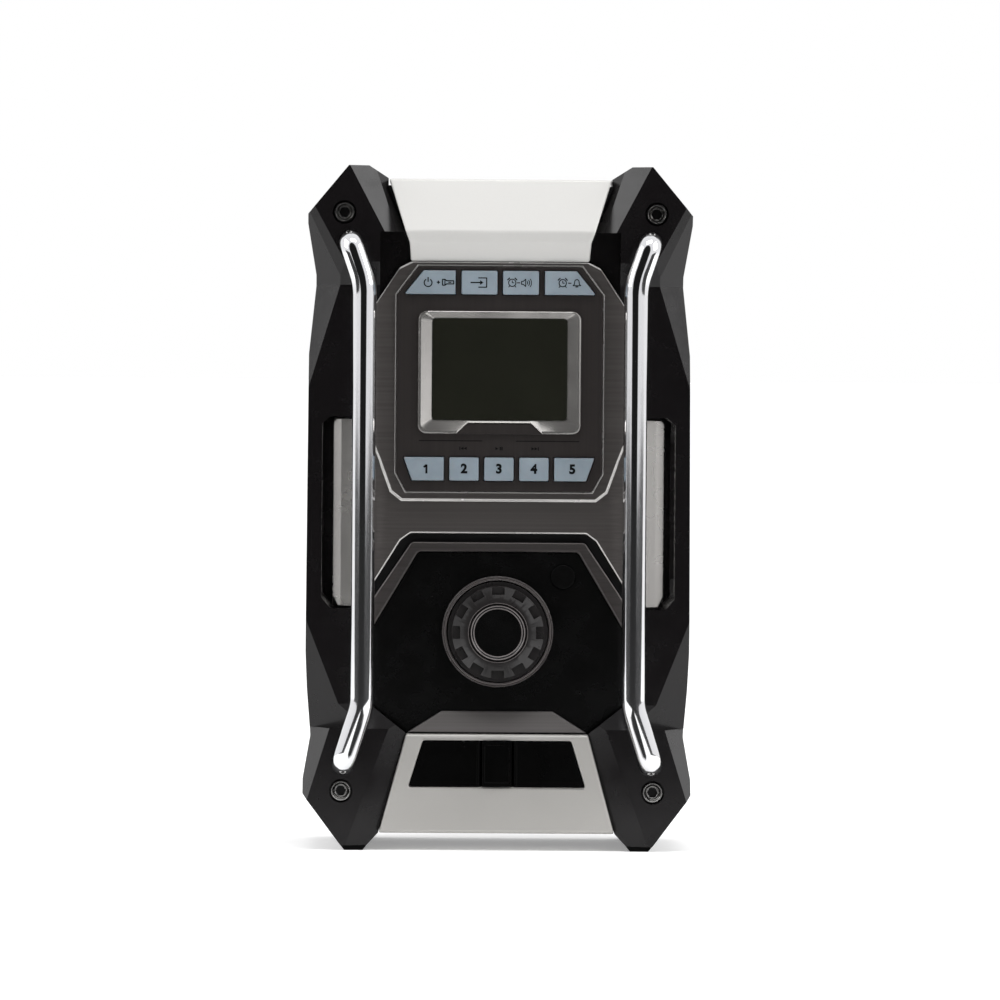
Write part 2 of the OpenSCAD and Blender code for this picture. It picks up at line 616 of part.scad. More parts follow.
module rear_cover() color(black) difference() {
    union() {
        difference() {
            block([-case_x, split_y, case_rise], [case_x, cover_y, case_top]);
            block([-case_x + wall, split_y - 1, case_rise + wall],
                [case_x - wall, cover_y - wall, case_top - wall]);
        }
        // Walls of the battery bay, reaching into the front housing
        block([-door_w / 2 - 2, bay_y - 2, bay_low - 2], [door_w / 2 + 2, cover_y - 0.1, bay_high + 2]);
        block([-door_w / 2 - 2, cover_y - 6, door_z - 5],
            [door_w / 2 + 2, cover_y - 0.1, door_z + door_h + 3]);
        block([-hinge_x - 6, cover_y - 6, door_z - 5], [hinge_x + 6, cover_y - 0.1, door_z + 4]);
        // Posts of the main board on the bay's front wall, and bosses for the screws
        for (m = [-1, 1], z = post_z)
            rod_y([m * post_x, main_board_y + board_t, z], 2.5, bay_y - 1.9 - main_board_y - board_t);
        for (m = [-1, 1], z = rear_screw_z) rod_y([m * rear_screw_x, split_y, z], 4, cover_d - 1);
        rod_y([dc_x, cover_y - 12, dc_z], 8, 11);
        block([dc_x, cover_y - 5, dc_z - 8], [dc_hinge_x + 4, cover_y - 0.1, dc_z + 8]);
    }
    block([-door_w / 2, bay_y, bay_low], [door_w / 2, cover_y + 1, bay_high]);
    // Rebate of the door, slot of its hinge, holes of its pins and notch of the latch
    block([-door_w / 2, cover_y - door_t, door_z + 2], [door_w / 2, cover_y + 1, door_z + door_h]);
    block([-hinge_x - gap, cover_y - 5, door_z - 3], [hinge_x + gap, cover_y + 1, door_z + 3]);
    rod_x([-hinge_x - 5, hinge_y, door_z], pin_r + 0.06, 2 * hinge_x + 10);
    block([-latch_w / 2, cover_y - door_t, door_z + door_h - 1],
        [latch_w / 2, cover_y + 1, door_z + door_h + 2.3]);
    // Screw holes with seats for the heads, and the supply socket's hole
    for (m = [-1, 1], z = rear_screw_z) {
        rod_y([m * rear_screw_x, split_y - 1, z], rear_screw_dia / 2 + 0.05, cover_d + 2);
        rod_y([m * rear_screw_x, cover_y - 3, z], 3.2, 4);
    }
    rod_y([dc_x, cover_y - 13, dc_z], 5 + 0.05, 14);
    rod_y([dc_x, cover_y - 1.5, dc_z], 8.6, 3);
    block([dc_x, cover_y - 1.5, dc_z - 3], [dc_hinge_x + 1.8, cover_y + 1, dc_z + 3]);
    block([dc_hinge_x - 2.2, cover_y - 3.2, dc_z - 4.3], [dc_hinge_x + 2.2, cover_y + 1, dc_z + 4.3]);
    rod_z([dc_hinge_x, dc_hinge_y, dc_z - 6], 0.8 + 0.06, 12);
    // Groove of the seal, and the pivot's spigot
    difference() {
        block([-case_x + seal_in - 0.1, split_y - 1, case_rise + seal_in - 0.1],
            [case_x - seal_in + 0.1, split_y + seal_t, case_top - seal_in + 0.1]);
        block([-case_x + seal_in + seal_w + 0.1, split_y - 2, case_rise + seal_in + seal_w + 0.1],
            [case_x - seal_in - seal_w - 0.1, split_y + 2, case_top - seal_in - seal_w - 0.1]);
    }
    rod_y([pivot_x, cover_y - 3, pivot_z], 3.05, 4);
    // Grooves above the door
    for (i = [0:rib_n - 1]) block([-vent_w / 2, cover_y - groove_d, door_z + door_h + 18 + i * rib_pitch],
        [vent_w / 2, cover_y + 1, door_z + door_h + 18 + i * rib_pitch + groove_w]);
}

// Rubber seal between the halves of the case
seal_in = 0.7;
seal_t = 0.8;
module case_seal() color(rubber) difference() {
    block([-case_x + seal_in, split_y, case_rise + seal_in],
        [case_x - seal_in, split_y + seal_t, case_top - seal_in]);
    block([-case_x + seal_in + seal_w, split_y - 1, case_rise + seal_in + seal_w],
        [case_x - seal_in - seal_w, split_y + 2, case_top - seal_in - seal_w]);
}

// ---- Cap and bottom panel -----------------------------------------------------------------

module top_cap() color(silver) intersection() {
    slab(case_y - far / 2, case_y + cap_wrap) polygon(paired(cap_edge));
    side_slab(-far / 2, far / 2) polygon([[case_y, cap_low], [case_y, case_top],
        [case_y + cap_wrap, case_top], [case_y + cap_wrap, cap_top], [case_y - 2, cap_top],
        [case_y - cap_nose, cap_fold], [case_y - cap_nose + 1.2, cap_break],
        [fascia_y - 2.5, cap_low]]);
}

module bottom_panel() color(silver) difference() {
    intersection() {
        slab(case_y - far / 2, case_y + 22) polygon(paired(low_edge));
        side_slab(-far / 2, far / 2) polygon([[case_y, low_rise + 8], [case_y, low_top],
            [case_y - low_nose + 1, low_top], [case_y - low_nose, low_top - 1],
            [case_y - low_nose, low_rise + 1.2], [case_y - low_nose + 1.5, low_rise],
            [case_y + 22, low_rise], [case_y + 22, case_rise], [case_y, case_rise]]);
    }
    slab(case_y - far / 2, case_y + 1) polygon(grown(paired(cover_edge), gap));
}

// ---- Fascia and display -------------------------------------------------------------------

// Opening behind the display panel that leaves it a narrow ledge
function panel_hole(d) = grown(paired(panel_edge), -d);

// The waist's sides curve back towards the bars, on upright axes behind waist_x
waist_x = panel_w / 2 - 3;
waist_r = ((fascia_x - waist_x) ^ 2 + waist_fall ^ 2) / (2 * waist_fall);
module waist_curve() difference() {
    block([waist_x, fascia_y - 1, frame_out - 1],
        [fascia_x + 1, fascia_y + waist_fall + 0.4, frame_edge[3].y]);
    rod_z([waist_x - 1, fascia_y + waist_r - 0.01, frame_out - 2], waist_r,
        frame_edge[3].y - frame_out + 3, $fn = 240);
}

module fascia() color(brushed) difference() {
    union() {
        difference() {
            slab(fascia_y, case_y) polygon(paired(fascia_edge));
            waist_curve();
            left() waist_curve();
        }
        slab(frame_y, case_y) polygon(paired(frame_edge));
    }
    slab(frame_y - 1, fascia_y) polygon(panel_hole(-0.15));
    slab(frame_y - 1, case_y + 1) polygon(panel_hole(0.8));
}

bezel_low = panel_low + 23.6;
bezel_top = bezel_low + bezel_h;
glass_w = bezel_w - 2 * rim_side;
glass_low = bezel_low + rim_low;
glass_top = bezel_top - rim_top;
bezel_t = 1.6;
tongue = [[bezel_w / 2 - 20.25, bezel_low + 4.4], [bezel_w / 2 - 15.7, bezel_low]];

module display_panel() color(dark) difference() {
    union() {
        slab(panel_y, fascia_y) polygon(panel_hole(0));
        slab(panel_y - bezel_t + 0.4, panel_y + 0.1)
            polygon([[-tongue[1].x + gap, tongue[1].y], [tongue[1].x - gap, tongue[1].y],
                [tongue[0].x - gap, tongue[0].y - gap], [-tongue[0].x + gap, tongue[0].y - gap]]);
    }
    block([-glass_w / 2 + 1.5, panel_y - 1, glass_low + 1.5],
        [glass_w / 2 - 1.5, fascia_y + 1, glass_top - 1.5]);
    for (i = [0:3]) slab(panel_y - 1, fascia_y + 1) polygon(grown(key_shape(i), gap));
    for (i = [0:4]) slab(panel_y - 1, fascia_y + 1) polygon(grown(preset_shape(i), gap));
}

module display_bezel() color(silver) difference() {
    slab(panel_y - bezel_t, panel_y)
        polygon(cut_box([-bezel_w / 2, bezel_low], [bezel_w / 2, bezel_top], 3));
    slab(panel_y - bezel_t - 1, panel_y + 1)
        polygon(cut_box([-glass_w / 2, glass_low], [glass_w / 2, glass_top], 1.2));
    slab(panel_y - bezel_t - 1, panel_y + 1)
        polygon([[-tongue[1].x - 1, tongue[1].y - 1], [tongue[1].x + 1, tongue[1].y - 1],
            tongue[1], tongue[0], [-tongue[0].x, tongue[0].y], [-tongue[1].x, tongue[1].y]]);
}

module display_glass() color([0.11, 0.12, 0.09]) slab(panel_y - 0.7, panel_y)
    polygon(cut_box([-glass_w / 2 + 0.1, glass_low + 0.1], [glass_w / 2 - 0.1, glass_top - 0.1], 1.2));

module display_module() color(board_green)
    block([-glass_w / 2 - 1, fascia_y, glass_low - 1], [glass_w / 2 + 1, fascia_y + 4, glass_top + 1]);

// ---- Knob panel and knob ------------------------------------------------------------------

knob_panel_edge = [wing_a + [-gap, 0], wing_b + [-gap - 0.3, 0.4], [fascia_x, knob_out - gap],
    knob_edge[1] + [0, -gap], knob_edge[0] + [0, -gap]];

module knob_panel() color(black) difference() {
    slab(knob_panel_y, case_y) polygon(paired(knob_panel_edge));
    rod_y([0, knob_panel_y - 1, knob_z], spindle_dia / 2 + 2, 5);
    rod_y([menu_x, knob_panel_y - 1, menu_z], menu_dia / 2, 5);
}

// The band over the knob panel, with a strip of the case left bare between it and the waist
frame_band = concat(knob_edge, [[fascia_x, knob_out], [fascia_x, frame_out - 1.7 * strip_w],
    [frame_low[2].x, frame_low[2].y - 1.7 * strip_w], [frame_low[0].x - 0.5, waist_z - strip_w]]);

module knob_frame() color(brushed) slab(fascia_y - 1, case_y) polygon(paired(frame_band));

module chin_trim() color(brushed) intersection() {
    slab(case_y - far / 2, knob_panel_y)
        polygon(paired([[low_w / 2 - seam, low_top + seam], [low_w / 2 - 14.5, chin_top]]));
    side_slab(-far / 2, far / 2) polygon([[case_y - low_nose + 1, low_top + seam],
        [knob_panel_y, low_top + seam], [knob_panel_y, chin_top], [knob_panel_y - 1, chin_top]]);
}

knob_y = case_y - knob_h - 4;
encoder_y = inner_y;

// Fixed ring around the knob, with a groove between its two crests
module knob_ring() color(dark) translate([0, knob_panel_y, knob_z]) rotate([90, 0, 0])
    rotate_extrude() polygon([[knob_dia / 2 + 0.4, 0], [ring_dia / 2, 0], [ring_dia / 2, 2.5],
        [ring_dia / 2 - 0.4, 3], [ring_dia / 2 - 0.8, 2.5], [knob_dia / 2 + 1.2, 2.5],
        [knob_dia / 2 + 0.8, 3], [knob_dia / 2 + 0.4, 2.5]]);

// The knob: a skirt, and a grip whose face slopes back to its notched edge
grip_r = knob_dia / 2 - 1.7;
crown_r = knob_dia / 2 - 7.6;
grip_fall = 2.8;
notch_w = 5.2;
module volume_knob() color(dark) difference() {
    union() {
        rod_y([0, knob_panel_y - 4.5, knob_z], knob_dia / 2, 4.5 - knob_travel - 0.4);
        rod_y([0, knob_y + grip_fall, knob_z], grip_r, knob_panel_y - knob_y - grip_fall - 4.4);
        translate([0, knob_y, knob_z]) rotate([-90, 0, 0])
            cylinder(h = grip_fall, r1 = crown_r, r2 = grip_r);
    }
    for (i = [0:notches - 1]) translate([0, knob_y, knob_z]) rotate([0, i * 360 / notches, 0])
        block([-notch_w / 2, -1, crown_r + 2.6], [notch_w / 2, grip_fall + 0.3, grip_r + 1]);
    rod_y([0, knob_y - 1, knob_z], knob_dia / 2 - 8.1, 3);
    rod_y([0, knob_y, knob_z], spindle_dia / 2 + 0.03, 30);
}

// Dished disc in the middle of the knob
module knob_cap() color(black) translate([0, knob_y + 2, knob_z]) rotate([90, 0, 0])
    rotate_extrude() polygon([[0, 0], [knob_dia / 2 - 8.2, 0], [knob_dia / 2 - 8.2, 2],
        [knob_dia / 2 - 9.6, 2], [knob_dia / 2 - 10.6, 0.9], [0, 0.9]]);

module knob_spindle() color(chrome) {
    rod_y([0, knob_y + 2, knob_z], spindle_dia / 2, encoder_y + 3 - knob_y - 2);
    rod_y([0, encoder_y + 2.9, knob_z], spindle_dia / 2 - 1, 1);
}

// Encoder: a fixed body around a rotor that turns with the spindle and lets it slide
module encoder_rotor() color(silver) difference() {
    rod_y([0, encoder_y + 0.6, knob_z], 5.2, 2);
    rod_y([0, encoder_y, knob_z], spindle_dia / 2 + 0.05, 4);
}

module encoder_body() color(dark) difference() {
    block([-8, encoder_y, knob_z - 9.5], [8, encoder_y + 6, knob_z + 9.5]);
    rod_y([0, encoder_y - 1, knob_z], spindle_dia / 2 + 0.4, 4);
    rod_y([0, encoder_y + 0.5, knob_z], 5.3, 2.3);
    rod_y([0, encoder_y + 0.5, knob_z], spindle_dia / 2 + 0.4, 4.4);
}

// ---- Boards -------------------------------------------------------------------------------

// Lower edge of the key board's leg behind the menu button
leg_low = menu_z - 7;

module key_board() color(board_green) difference() {
    union() {
        block([-pad_x - 3, board_y, panel_low + 2], [pad_x + 3, board_y + board_t, panel_top - 5]);
        block([menu_x - 3.6, board_y, leg_low], [menu_x + 3.6, board_y + board_t, panel_low + 3]);
    }
    for (m = [-1, 1], z = pad_z) rod_y([m * pad_x, board_y - 1, z], 1, 4);
}

module key_switches() color(silver) {
    for (i = [0:3]) switch(key_press(i), board_y - case_y);
    for (i = [0:4]) switch(preset_press(i), board_y - case_y);
    switch([menu_x, menu_z], menu_switch_t);
}

module switch(p, t) block([p.x - 3, board_y - t, p.y - 3], [p.x + 3, board_y, p.y + 3]);

sink_w = 30;
sink_fins = 8;
fin_t = 2;
sink_pitch = (sink_w - fin_t) / (sink_fins - 1);
sink_low = board_top - 30;
part_d = 12;
can_r = 5;
chip_w = 20;
module main_board() color(board_green) {
    block([-board_x, main_board_y, board_low], [board_x, main_board_y + board_t, board_top]);
    // Heat sink with its fins, two capacitors and the receiver's chip
    for (i = [0:sink_fins - 1]) block([i * sink_pitch - sink_w / 2, main_board_y - part_d, sink_low],
        [i * sink_pitch - sink_w / 2 + fin_t, main_board_y, board_top - 12]);
    block([-sink_w / 2, main_board_y - 3, sink_low], [sink_w / 2, main_board_y, board_top - 12]);
    for (m = [-1, 1])
        rod_y([m * (sink_w / 2 + can_r), main_board_y - part_d, sink_low - 12], can_r, part_d);
    block([-chip_w / 2, main_board_y - 2, board_low + 14], [chip_w / 2, main_board_y, board_low + 30]);
}

// ---- Sockets ------------------------------------------------------------------------------

cover_z = low_top - 3;
socket_x = block_w / 2 + 11.6;
socket_z = cover_z - flap_h / 2;
flap_y = case_y - low_nose - 0.2;
// Right edge of the rubber cover, which widens downwards with the panel
cover_edge = [[low_w / 2 - 1.4, cover_z - flap_h], [low_w / 2 - 7.1, cover_z]];
flap_hinge = block_w / 2 + 1;

module socket_block() color(rubber) difference() {
    block([-block_w / 2, flap_y - 0.8, cover_z - flap_h], [block_w / 2, case_y, cover_z]);
    for (m = [-1, 1]) block([m * block_w / 2 - 1.4, flap_y - 2, cover_z - flap_h - 1],
        [m * block_w / 2 + 1.4, flap_y + flap_t + 1.2, cover_z + 1]);
    block([-block_w / 2 + 2.4, flap_y - 2, cover_z - flap_h + 1.6],
        [block_w / 2 - 2.4, flap_y - 0.3, cover_z - 1.6]);
}

// A flap with its hinge barrel beside the block, and a plug that presses into the socket's mouth
module socket_flap() color(rubber) {
    slab(flap_y, flap_y + flap_t) polygon([[flap_hinge, cover_z - flap_h + 0.2],
        cover_edge[0] + [-0.2, 0.2], cover_edge[1] + [-0.2, -0.2], [flap_hinge, cover_z - 0.2]]);
    translate([flap_hinge - 0.6, flap_y + flap_t / 2, cover_z - flap_h + 0.2])
        cylinder(h = flap_h - 0.4, r = flap_t / 2);
}

module right_socket_flap() socket_flap();
module left_socket_flap() left() socket_flap();

module usb_socket() color(silver) {
    difference() {
        block([-socket_x - 7, case_y, socket_z - 3.6], [-socket_x + 7, case_y + 14, socket_z + 3.6]);
        block([-socket_x - 6.25, case_y - 1, socket_z - 2.6],
            [-socket_x + 6.25, case_y + 12, socket_z + 2.6]);
    }
    block([-socket_x - 5.5, case_y + 1.5, socket_z + 0.3], [-socket_x + 5.5, case_y + 13, socket_z + 2.1]);
}

aux_len = 14;
module aux_socket() color(dark) difference() {
    union() {
        block([socket_x - 5, inner_y, socket_z - 4], [socket_x + 5, inner_y + aux_len, socket_z + 4]);
        rod_y([socket_x, case_y, socket_z], 4, wall + 0.1);
    }
    rod_y([socket_x, case_y - 1, socket_z], aux_dia / 2, aux_len + 1);
}

// Supply socket in the rear cover, with its rubber cap hinged towards the middle
dc_x = 20.5 - case_x;
dc_z = case_rise + 31;
dc_hinge_x = dc_x + 10.2;
dc_hinge_y = cover_y - 1.4;
module dc_jack() color(dark) {
    difference() {
        rod_y([dc_x, cover_y - 14, dc_z], 5, 12.4);
        rod_y([dc_x, cover_y - 11, dc_z], dc_dia / 2, 12);
    }
    rod_y([dc_x, cover_y - 11.1, dc_z], 1, 7);
}

module dc_cap() color(rubber) {
    rod_y([dc_x, cover_y - 1.3, dc_z], 8.2, 2.3);
    block([dc_x + 6, cover_y - 1.3, dc_z - 2.7], [dc_hinge_x, cover_y - 0.2, dc_z + 2.7]);
    rod_z([dc_hinge_x, dc_hinge_y, dc_z - 3.9], 1.3, 7.8);
    rod_z([dc_hinge_x, dc_hinge_y, dc_z - 5.5], 0.8, 11);
}

// ---- Speakers -----------------------------------------------------------------------------

// A solid of revolution about the right-hand speaker's axis, whose profile runs inwards from the wall
module speaker_turn() translate([case_x - wall, window_y, speaker_z]) rotate([0, -90, 0])
    rotate_extrude() children();

module speaker() color(dark) speaker_turn() difference() {
    polygon([[0, speaker_d - 10], [8, speaker_d - 10], [speaker_dia / 2 - 4, 1.5], [speaker_dia / 2 - 4, 0],
        [speaker_dia / 2, 0], [speaker_dia / 2, 2.5], [speaker_dia / 2 - 3, 2.5], [15, speaker_d - 9],
        [15, speaker_d], [0, speaker_d]]);
}

module cone() color(rubber) speaker_turn() polygon([[0, speaker_d - 15], [6, speaker_d - 14.8],
    [speaker_dia / 2 - 7, 1.6], [speaker_dia / 2 - 4.3, 0.6], [speaker_dia / 2 - 4.1, 1.3],
    [8, speaker_d - 10.4], [0, speaker_d - 10.2]]);

module left_speaker() left() speaker();
module right_speaker() speaker();
module left_cone() left() cone();
module right_cone() cone();

slot_pitch = 4.4;
slot_h = 2.2;

// A slotted plate over the speaker's mouth, with a lip that wraps the case's front edge
lip_in = fascia_x + gap;
bevel_x = grille_x - lip_bevel;
module grille() color(silver) difference() {
    union() {
        side_slab(case_x, grille_x) polygon(cut_box([case_y - 0.5, grille_low],
            [split_y - 2.5, grille_high], 5));
        slab(case_y - lip_t, case_y) polygon([[lip_in, grille_low], [grille_x - 2.2, grille_low],
            [grille_x, grille_low + 4.5], [grille_x, grille_high - 1.6], [grille_x - 1.2, grille_high],
            [lip_in, grille_high]]);
    }
    // The lip's face falls back to a bevel along its outer edge
    beyond([lip_in, case_y - lip_t, grille_low], [lip_in, case_y - lip_t, grille_high],
        [bevel_x, case_y - lip_t + lip_lean, grille_low]);
    beyond([bevel_x, case_y - lip_t + lip_lean, grille_low],
        [bevel_x, case_y - lip_t + lip_lean, grille_high], [grille_x, case_y - 0.6, grille_low]);
    for (i = [-6:6]) block([case_x - 1, window_y - 20, speaker_z + i * slot_pitch - slot_h / 2],
        [grille_x + 1, window_y + 20, speaker_z + i * slot_pitch + slot_h / 2]);
}

module left_grille() left() grille();
module right_grille() grille();

// ---- Battery ------------------------------------------------------------------------------

hinge_x = door_w / 2 - gap;
hinge_y = cover_y - 2.2;
hinge_r = 2.2;
pin_r = 1.2;
latch_w = 16;
rib_n = 7;
rib_in = 10;
rib_pitch = 5;
groove_w = 1.8;
groove_d = 0.7;

module battery_door() color(dark) difference() {
    union() {
        block([-hinge_x, cover_y - door_t, door_z + 2 + gap], [hinge_x, cover_y, door_z + door_h - gap]);
        block([-hinge_x, cover_y - door_t, door_z], [hinge_x, cover_y - 0.2, door_z + 4]);
        rod_x([-hinge_x, hinge_y, door_z], hinge_r, 2 * hinge_x);
        rod_x([-hinge_x - 4, hinge_y, door_z], pin_r, 2 * hinge_x + 8);
    }
    block([-latch_w / 2 - gap, cover_y - door_t - 1, door_z + door_h - 4 - latch_h - latch_travel],
        [latch_w / 2 + gap, cover_y + 1, door_z + door_h + 1]);
    // Ribs across the door's lower part
    for (i = [0:rib_n - 1]) block([rib_in - door_w / 2, cover_y - groove_d, door_z + rib_in + i * rib_pitch],
        [door_w / 2 - rib_in, cover_y + 1, door_z + rib_in + i * rib_pitch + groove_w]);
}

latch_h = 9;
module battery_latch() color(black) {
    block([-latch_w / 2, cover_y - door_t, door_z + door_h - 4 - latch_h],
        [latch_w / 2, cover_y + 1.2, door_z + door_h - 4]);
    block([-latch_w / 2 + 3, cover_y - door_t, door_z + door_h - 4.1],
        [latch_w / 2 - 3, cover_y - 0.8, door_z + door_h + 2]);
}

module battery_pack() color(black) difference() {
    union() {
        block([-door_w / 2 + 5, bay_y, bay_low + 0.4],
            [door_w / 2 - 5, cover_y - door_t - 1, bay_high - 14]);
        block([-door_w / 2 + 8, bay_y, bay_high - 14.1],
            [door_w / 2 - 8, cover_y - door_t - 10, bay_high - 8]);
    }
    for (m = [-1, 1])
        block([m * 22 - 1.5, bay_y + 6, bay_high - 13], [m * 22 + 1.5, bay_y + 16, bay_high - 7]);
}

module battery_terminals() color([0.80, 0.62, 0.25]) {
    block([-door_w / 2 + 8, bay_y, bay_high - 5], [door_w / 2 - 8, bay_y + 16, bay_high]);
    for (m = [-1, 1])
        block([m * 22 - 0.8, bay_y + 7, bay_high - 12], [m * 22 + 0.8, bay_y + 15, bay_high - 4.9]);
}

// ---- Antenna, torch and screws ------------------------------------------------------------

pivot_x = case_x - 18.5;
pivot_z = body_h - 45;
knuckle_r = 4.6;

module antenna_pivot() color(dark) {
    rod_y([pivot_x, cover_y - 3, pivot_z], 3, 3);
    rod_y([pivot_x, cover_y, pivot_z], 5.5, 1.6);
    rod_y([pivot_x, cover_y + 1.5, pivot_z], 1.5, 4.2);
}

module antenna_rod() color(black) difference() {
    union() {
        rod_y([pivot_x, cover_y + 1.65, pivot_z], knuckle_r, 4);
        translate([pivot_x, cover_y + 3.65, pivot_z]) mirror([0, 0, 1]) {
            translate([0, 0, 3]) cylinder(h = rod_len - 3, r = rod_dia / 2);
            translate([0, 0, rod_len - 6]) cylinder(h = 6, r = rod_dia / 2 + 0.15);
        }
    }
    rod_y([pivot_x, cover_y + 1, pivot_z], 1.55, 6);
}

module torch_lens() color([0.85, 0.87, 0.90]) rod_z([0, torch_y, case_top - 1.2], torch_r, 1.7);

module torch_led() color([0.95, 0.92, 0.75]) {
    rod_z([0, torch_y, case_top - wall - 4], 3, 4.6);
    rod_z([0, torch_y, case_top - wall - 5.5], 8, 1.6);
    for (x = [-6.5, 6.5]) rod_z([x, torch_y, case_top - wall - 4], 1.2, 4);
}

// A head with a raised rim around a dish, and a hexagonal socket in it, on a shank
module guard_screws() color(chrome) for (m = [-1, 1], z = [screw_low_z, screw_top_z])
    translate([m * screw_x, head_y, z]) rotate([90, 0, 0]) difference() {
        union() {
            rotate_extrude() polygon([[0, 0], [head_dia / 2, 0], [head_dia / 2, head_t - 0.5],
                [head_dia / 2 - 0.4, head_t], [head_dia / 2 - 0.8, head_t],
                [head_dia / 2 - 1.2, head_t - 0.4], [socket_r + 0.2, head_t - 1.2], [0, head_t - 1.2]]);
            translate([0, 0, -corner_t - wall + 3.9]) cylinder(h = corner_t + wall - 3.8, r = screw_dia / 2);
        }
        translate([0, 0, 0.9]) cylinder(h = 4, r = socket_r, $fn = 6);
    }

module rear_screws() color(chrome) for (m = [-1, 1], z = rear_screw_z)
    translate([m * rear_screw_x, cover_y - 3, z]) rotate([-90, 0, 0]) difference() {
        union() {
            cylinder(h = 2.4, r = 3);
            translate([0, 0, -cover_d - 7]) cylinder(h = cover_d + 7.1, r = rear_screw_dia / 2);
        }
        for (turn = [0, 90]) rotate([0, 0, turn]) translate([-1.9, -0.4, 1]) cube([3.8, 0.8, 2]);
    }

front_housing();
rear_cover();
left_guard();
right_guard();
top_cap();
bottom_panel();
fascia();
display_panel();
display_bezel();
display_glass();
display_module();
knob_panel();
knob_frame();
chin_trim();
socket_block();
left_socket_flap();
right_socket_flap();
usb_socket();
aux_socket();
left_bar();
right_bar();
guard_screws();
rear_screws();
left_grille();
right_grille();
left_speaker();
right_speaker();
left_cone();
right_cone();
main_board();
key_board();
key_switches();
encoder_body();
encoder_rotor();
knob_spindle();
volume_knob();
knob_cap();
knob_ring();
function_key(0);  // power_key
function_key(1);  // source_key
function_key(2);  // alarm_sound_key
function_key(3);  // alarm_bell_key
preset_key(0);  // preset_key_1
preset_key(1);  // preset_key_2
preset_key(2);  // preset_key_3
preset_key(3);  // preset_key_4
preset_key(4);  // preset_key_5
menu_button();
battery_door();
battery_latch();
battery_pack();
battery_terminals();
antenna_pivot();
antenna_rod();
dc_jack();
dc_cap();
torch_lens();
torch_led();
foot_pads();
case_seal();
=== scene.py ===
import json
import math

import bmesh
import bpy
from mathutils import Matrix, Vector

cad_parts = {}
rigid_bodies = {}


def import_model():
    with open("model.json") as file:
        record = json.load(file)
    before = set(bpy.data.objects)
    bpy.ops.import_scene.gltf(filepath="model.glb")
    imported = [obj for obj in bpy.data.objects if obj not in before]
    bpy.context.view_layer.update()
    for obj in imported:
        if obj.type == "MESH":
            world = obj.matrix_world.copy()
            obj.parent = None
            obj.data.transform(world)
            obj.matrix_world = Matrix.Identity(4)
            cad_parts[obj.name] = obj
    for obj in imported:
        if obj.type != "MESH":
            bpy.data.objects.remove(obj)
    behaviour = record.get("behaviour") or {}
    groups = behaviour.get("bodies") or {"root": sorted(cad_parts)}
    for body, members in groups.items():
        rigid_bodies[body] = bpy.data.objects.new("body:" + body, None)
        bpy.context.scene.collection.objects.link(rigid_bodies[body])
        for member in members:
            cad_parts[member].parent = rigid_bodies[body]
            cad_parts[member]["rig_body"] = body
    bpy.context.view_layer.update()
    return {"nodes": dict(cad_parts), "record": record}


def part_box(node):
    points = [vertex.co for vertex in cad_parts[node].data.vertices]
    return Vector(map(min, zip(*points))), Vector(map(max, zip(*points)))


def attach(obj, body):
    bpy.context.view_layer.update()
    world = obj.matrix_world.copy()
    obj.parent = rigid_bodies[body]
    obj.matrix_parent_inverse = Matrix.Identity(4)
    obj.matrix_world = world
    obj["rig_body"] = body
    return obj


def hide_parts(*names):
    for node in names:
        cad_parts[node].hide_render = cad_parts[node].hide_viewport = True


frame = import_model()
NODES = frame["nodes"]
MM = 0.001
scene = bpy.context.scene
scene.view_settings.view_transform = "Standard"


# ---- Sizes read from the frame -------------------------------------------------------------

def low(node, axis):
    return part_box(node)[0]["xyz".index(axis)]


def high(node, axis):
    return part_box(node)[1]["xyz".index(axis)]


KEY_Y = low("power_key", "y")
BODY_H = high("left_guard", "z")
PANEL_Y = high("display_glass", "y")
SLIVER = 0.015 * MM
INK = 0.05 * MM
SCRATCH = 500


# ---- Materials -----------------------------------------------------------------------------

def tone(r, g, b):
    """A colour given as display values from 0 to 255."""
    def linear(v):
        v /= 255
        return v / 12.92 if v <= 0.04045 else ((v + 0.055) / 1.055) ** 2.4
    return (linear(r), linear(g), linear(b), 1)


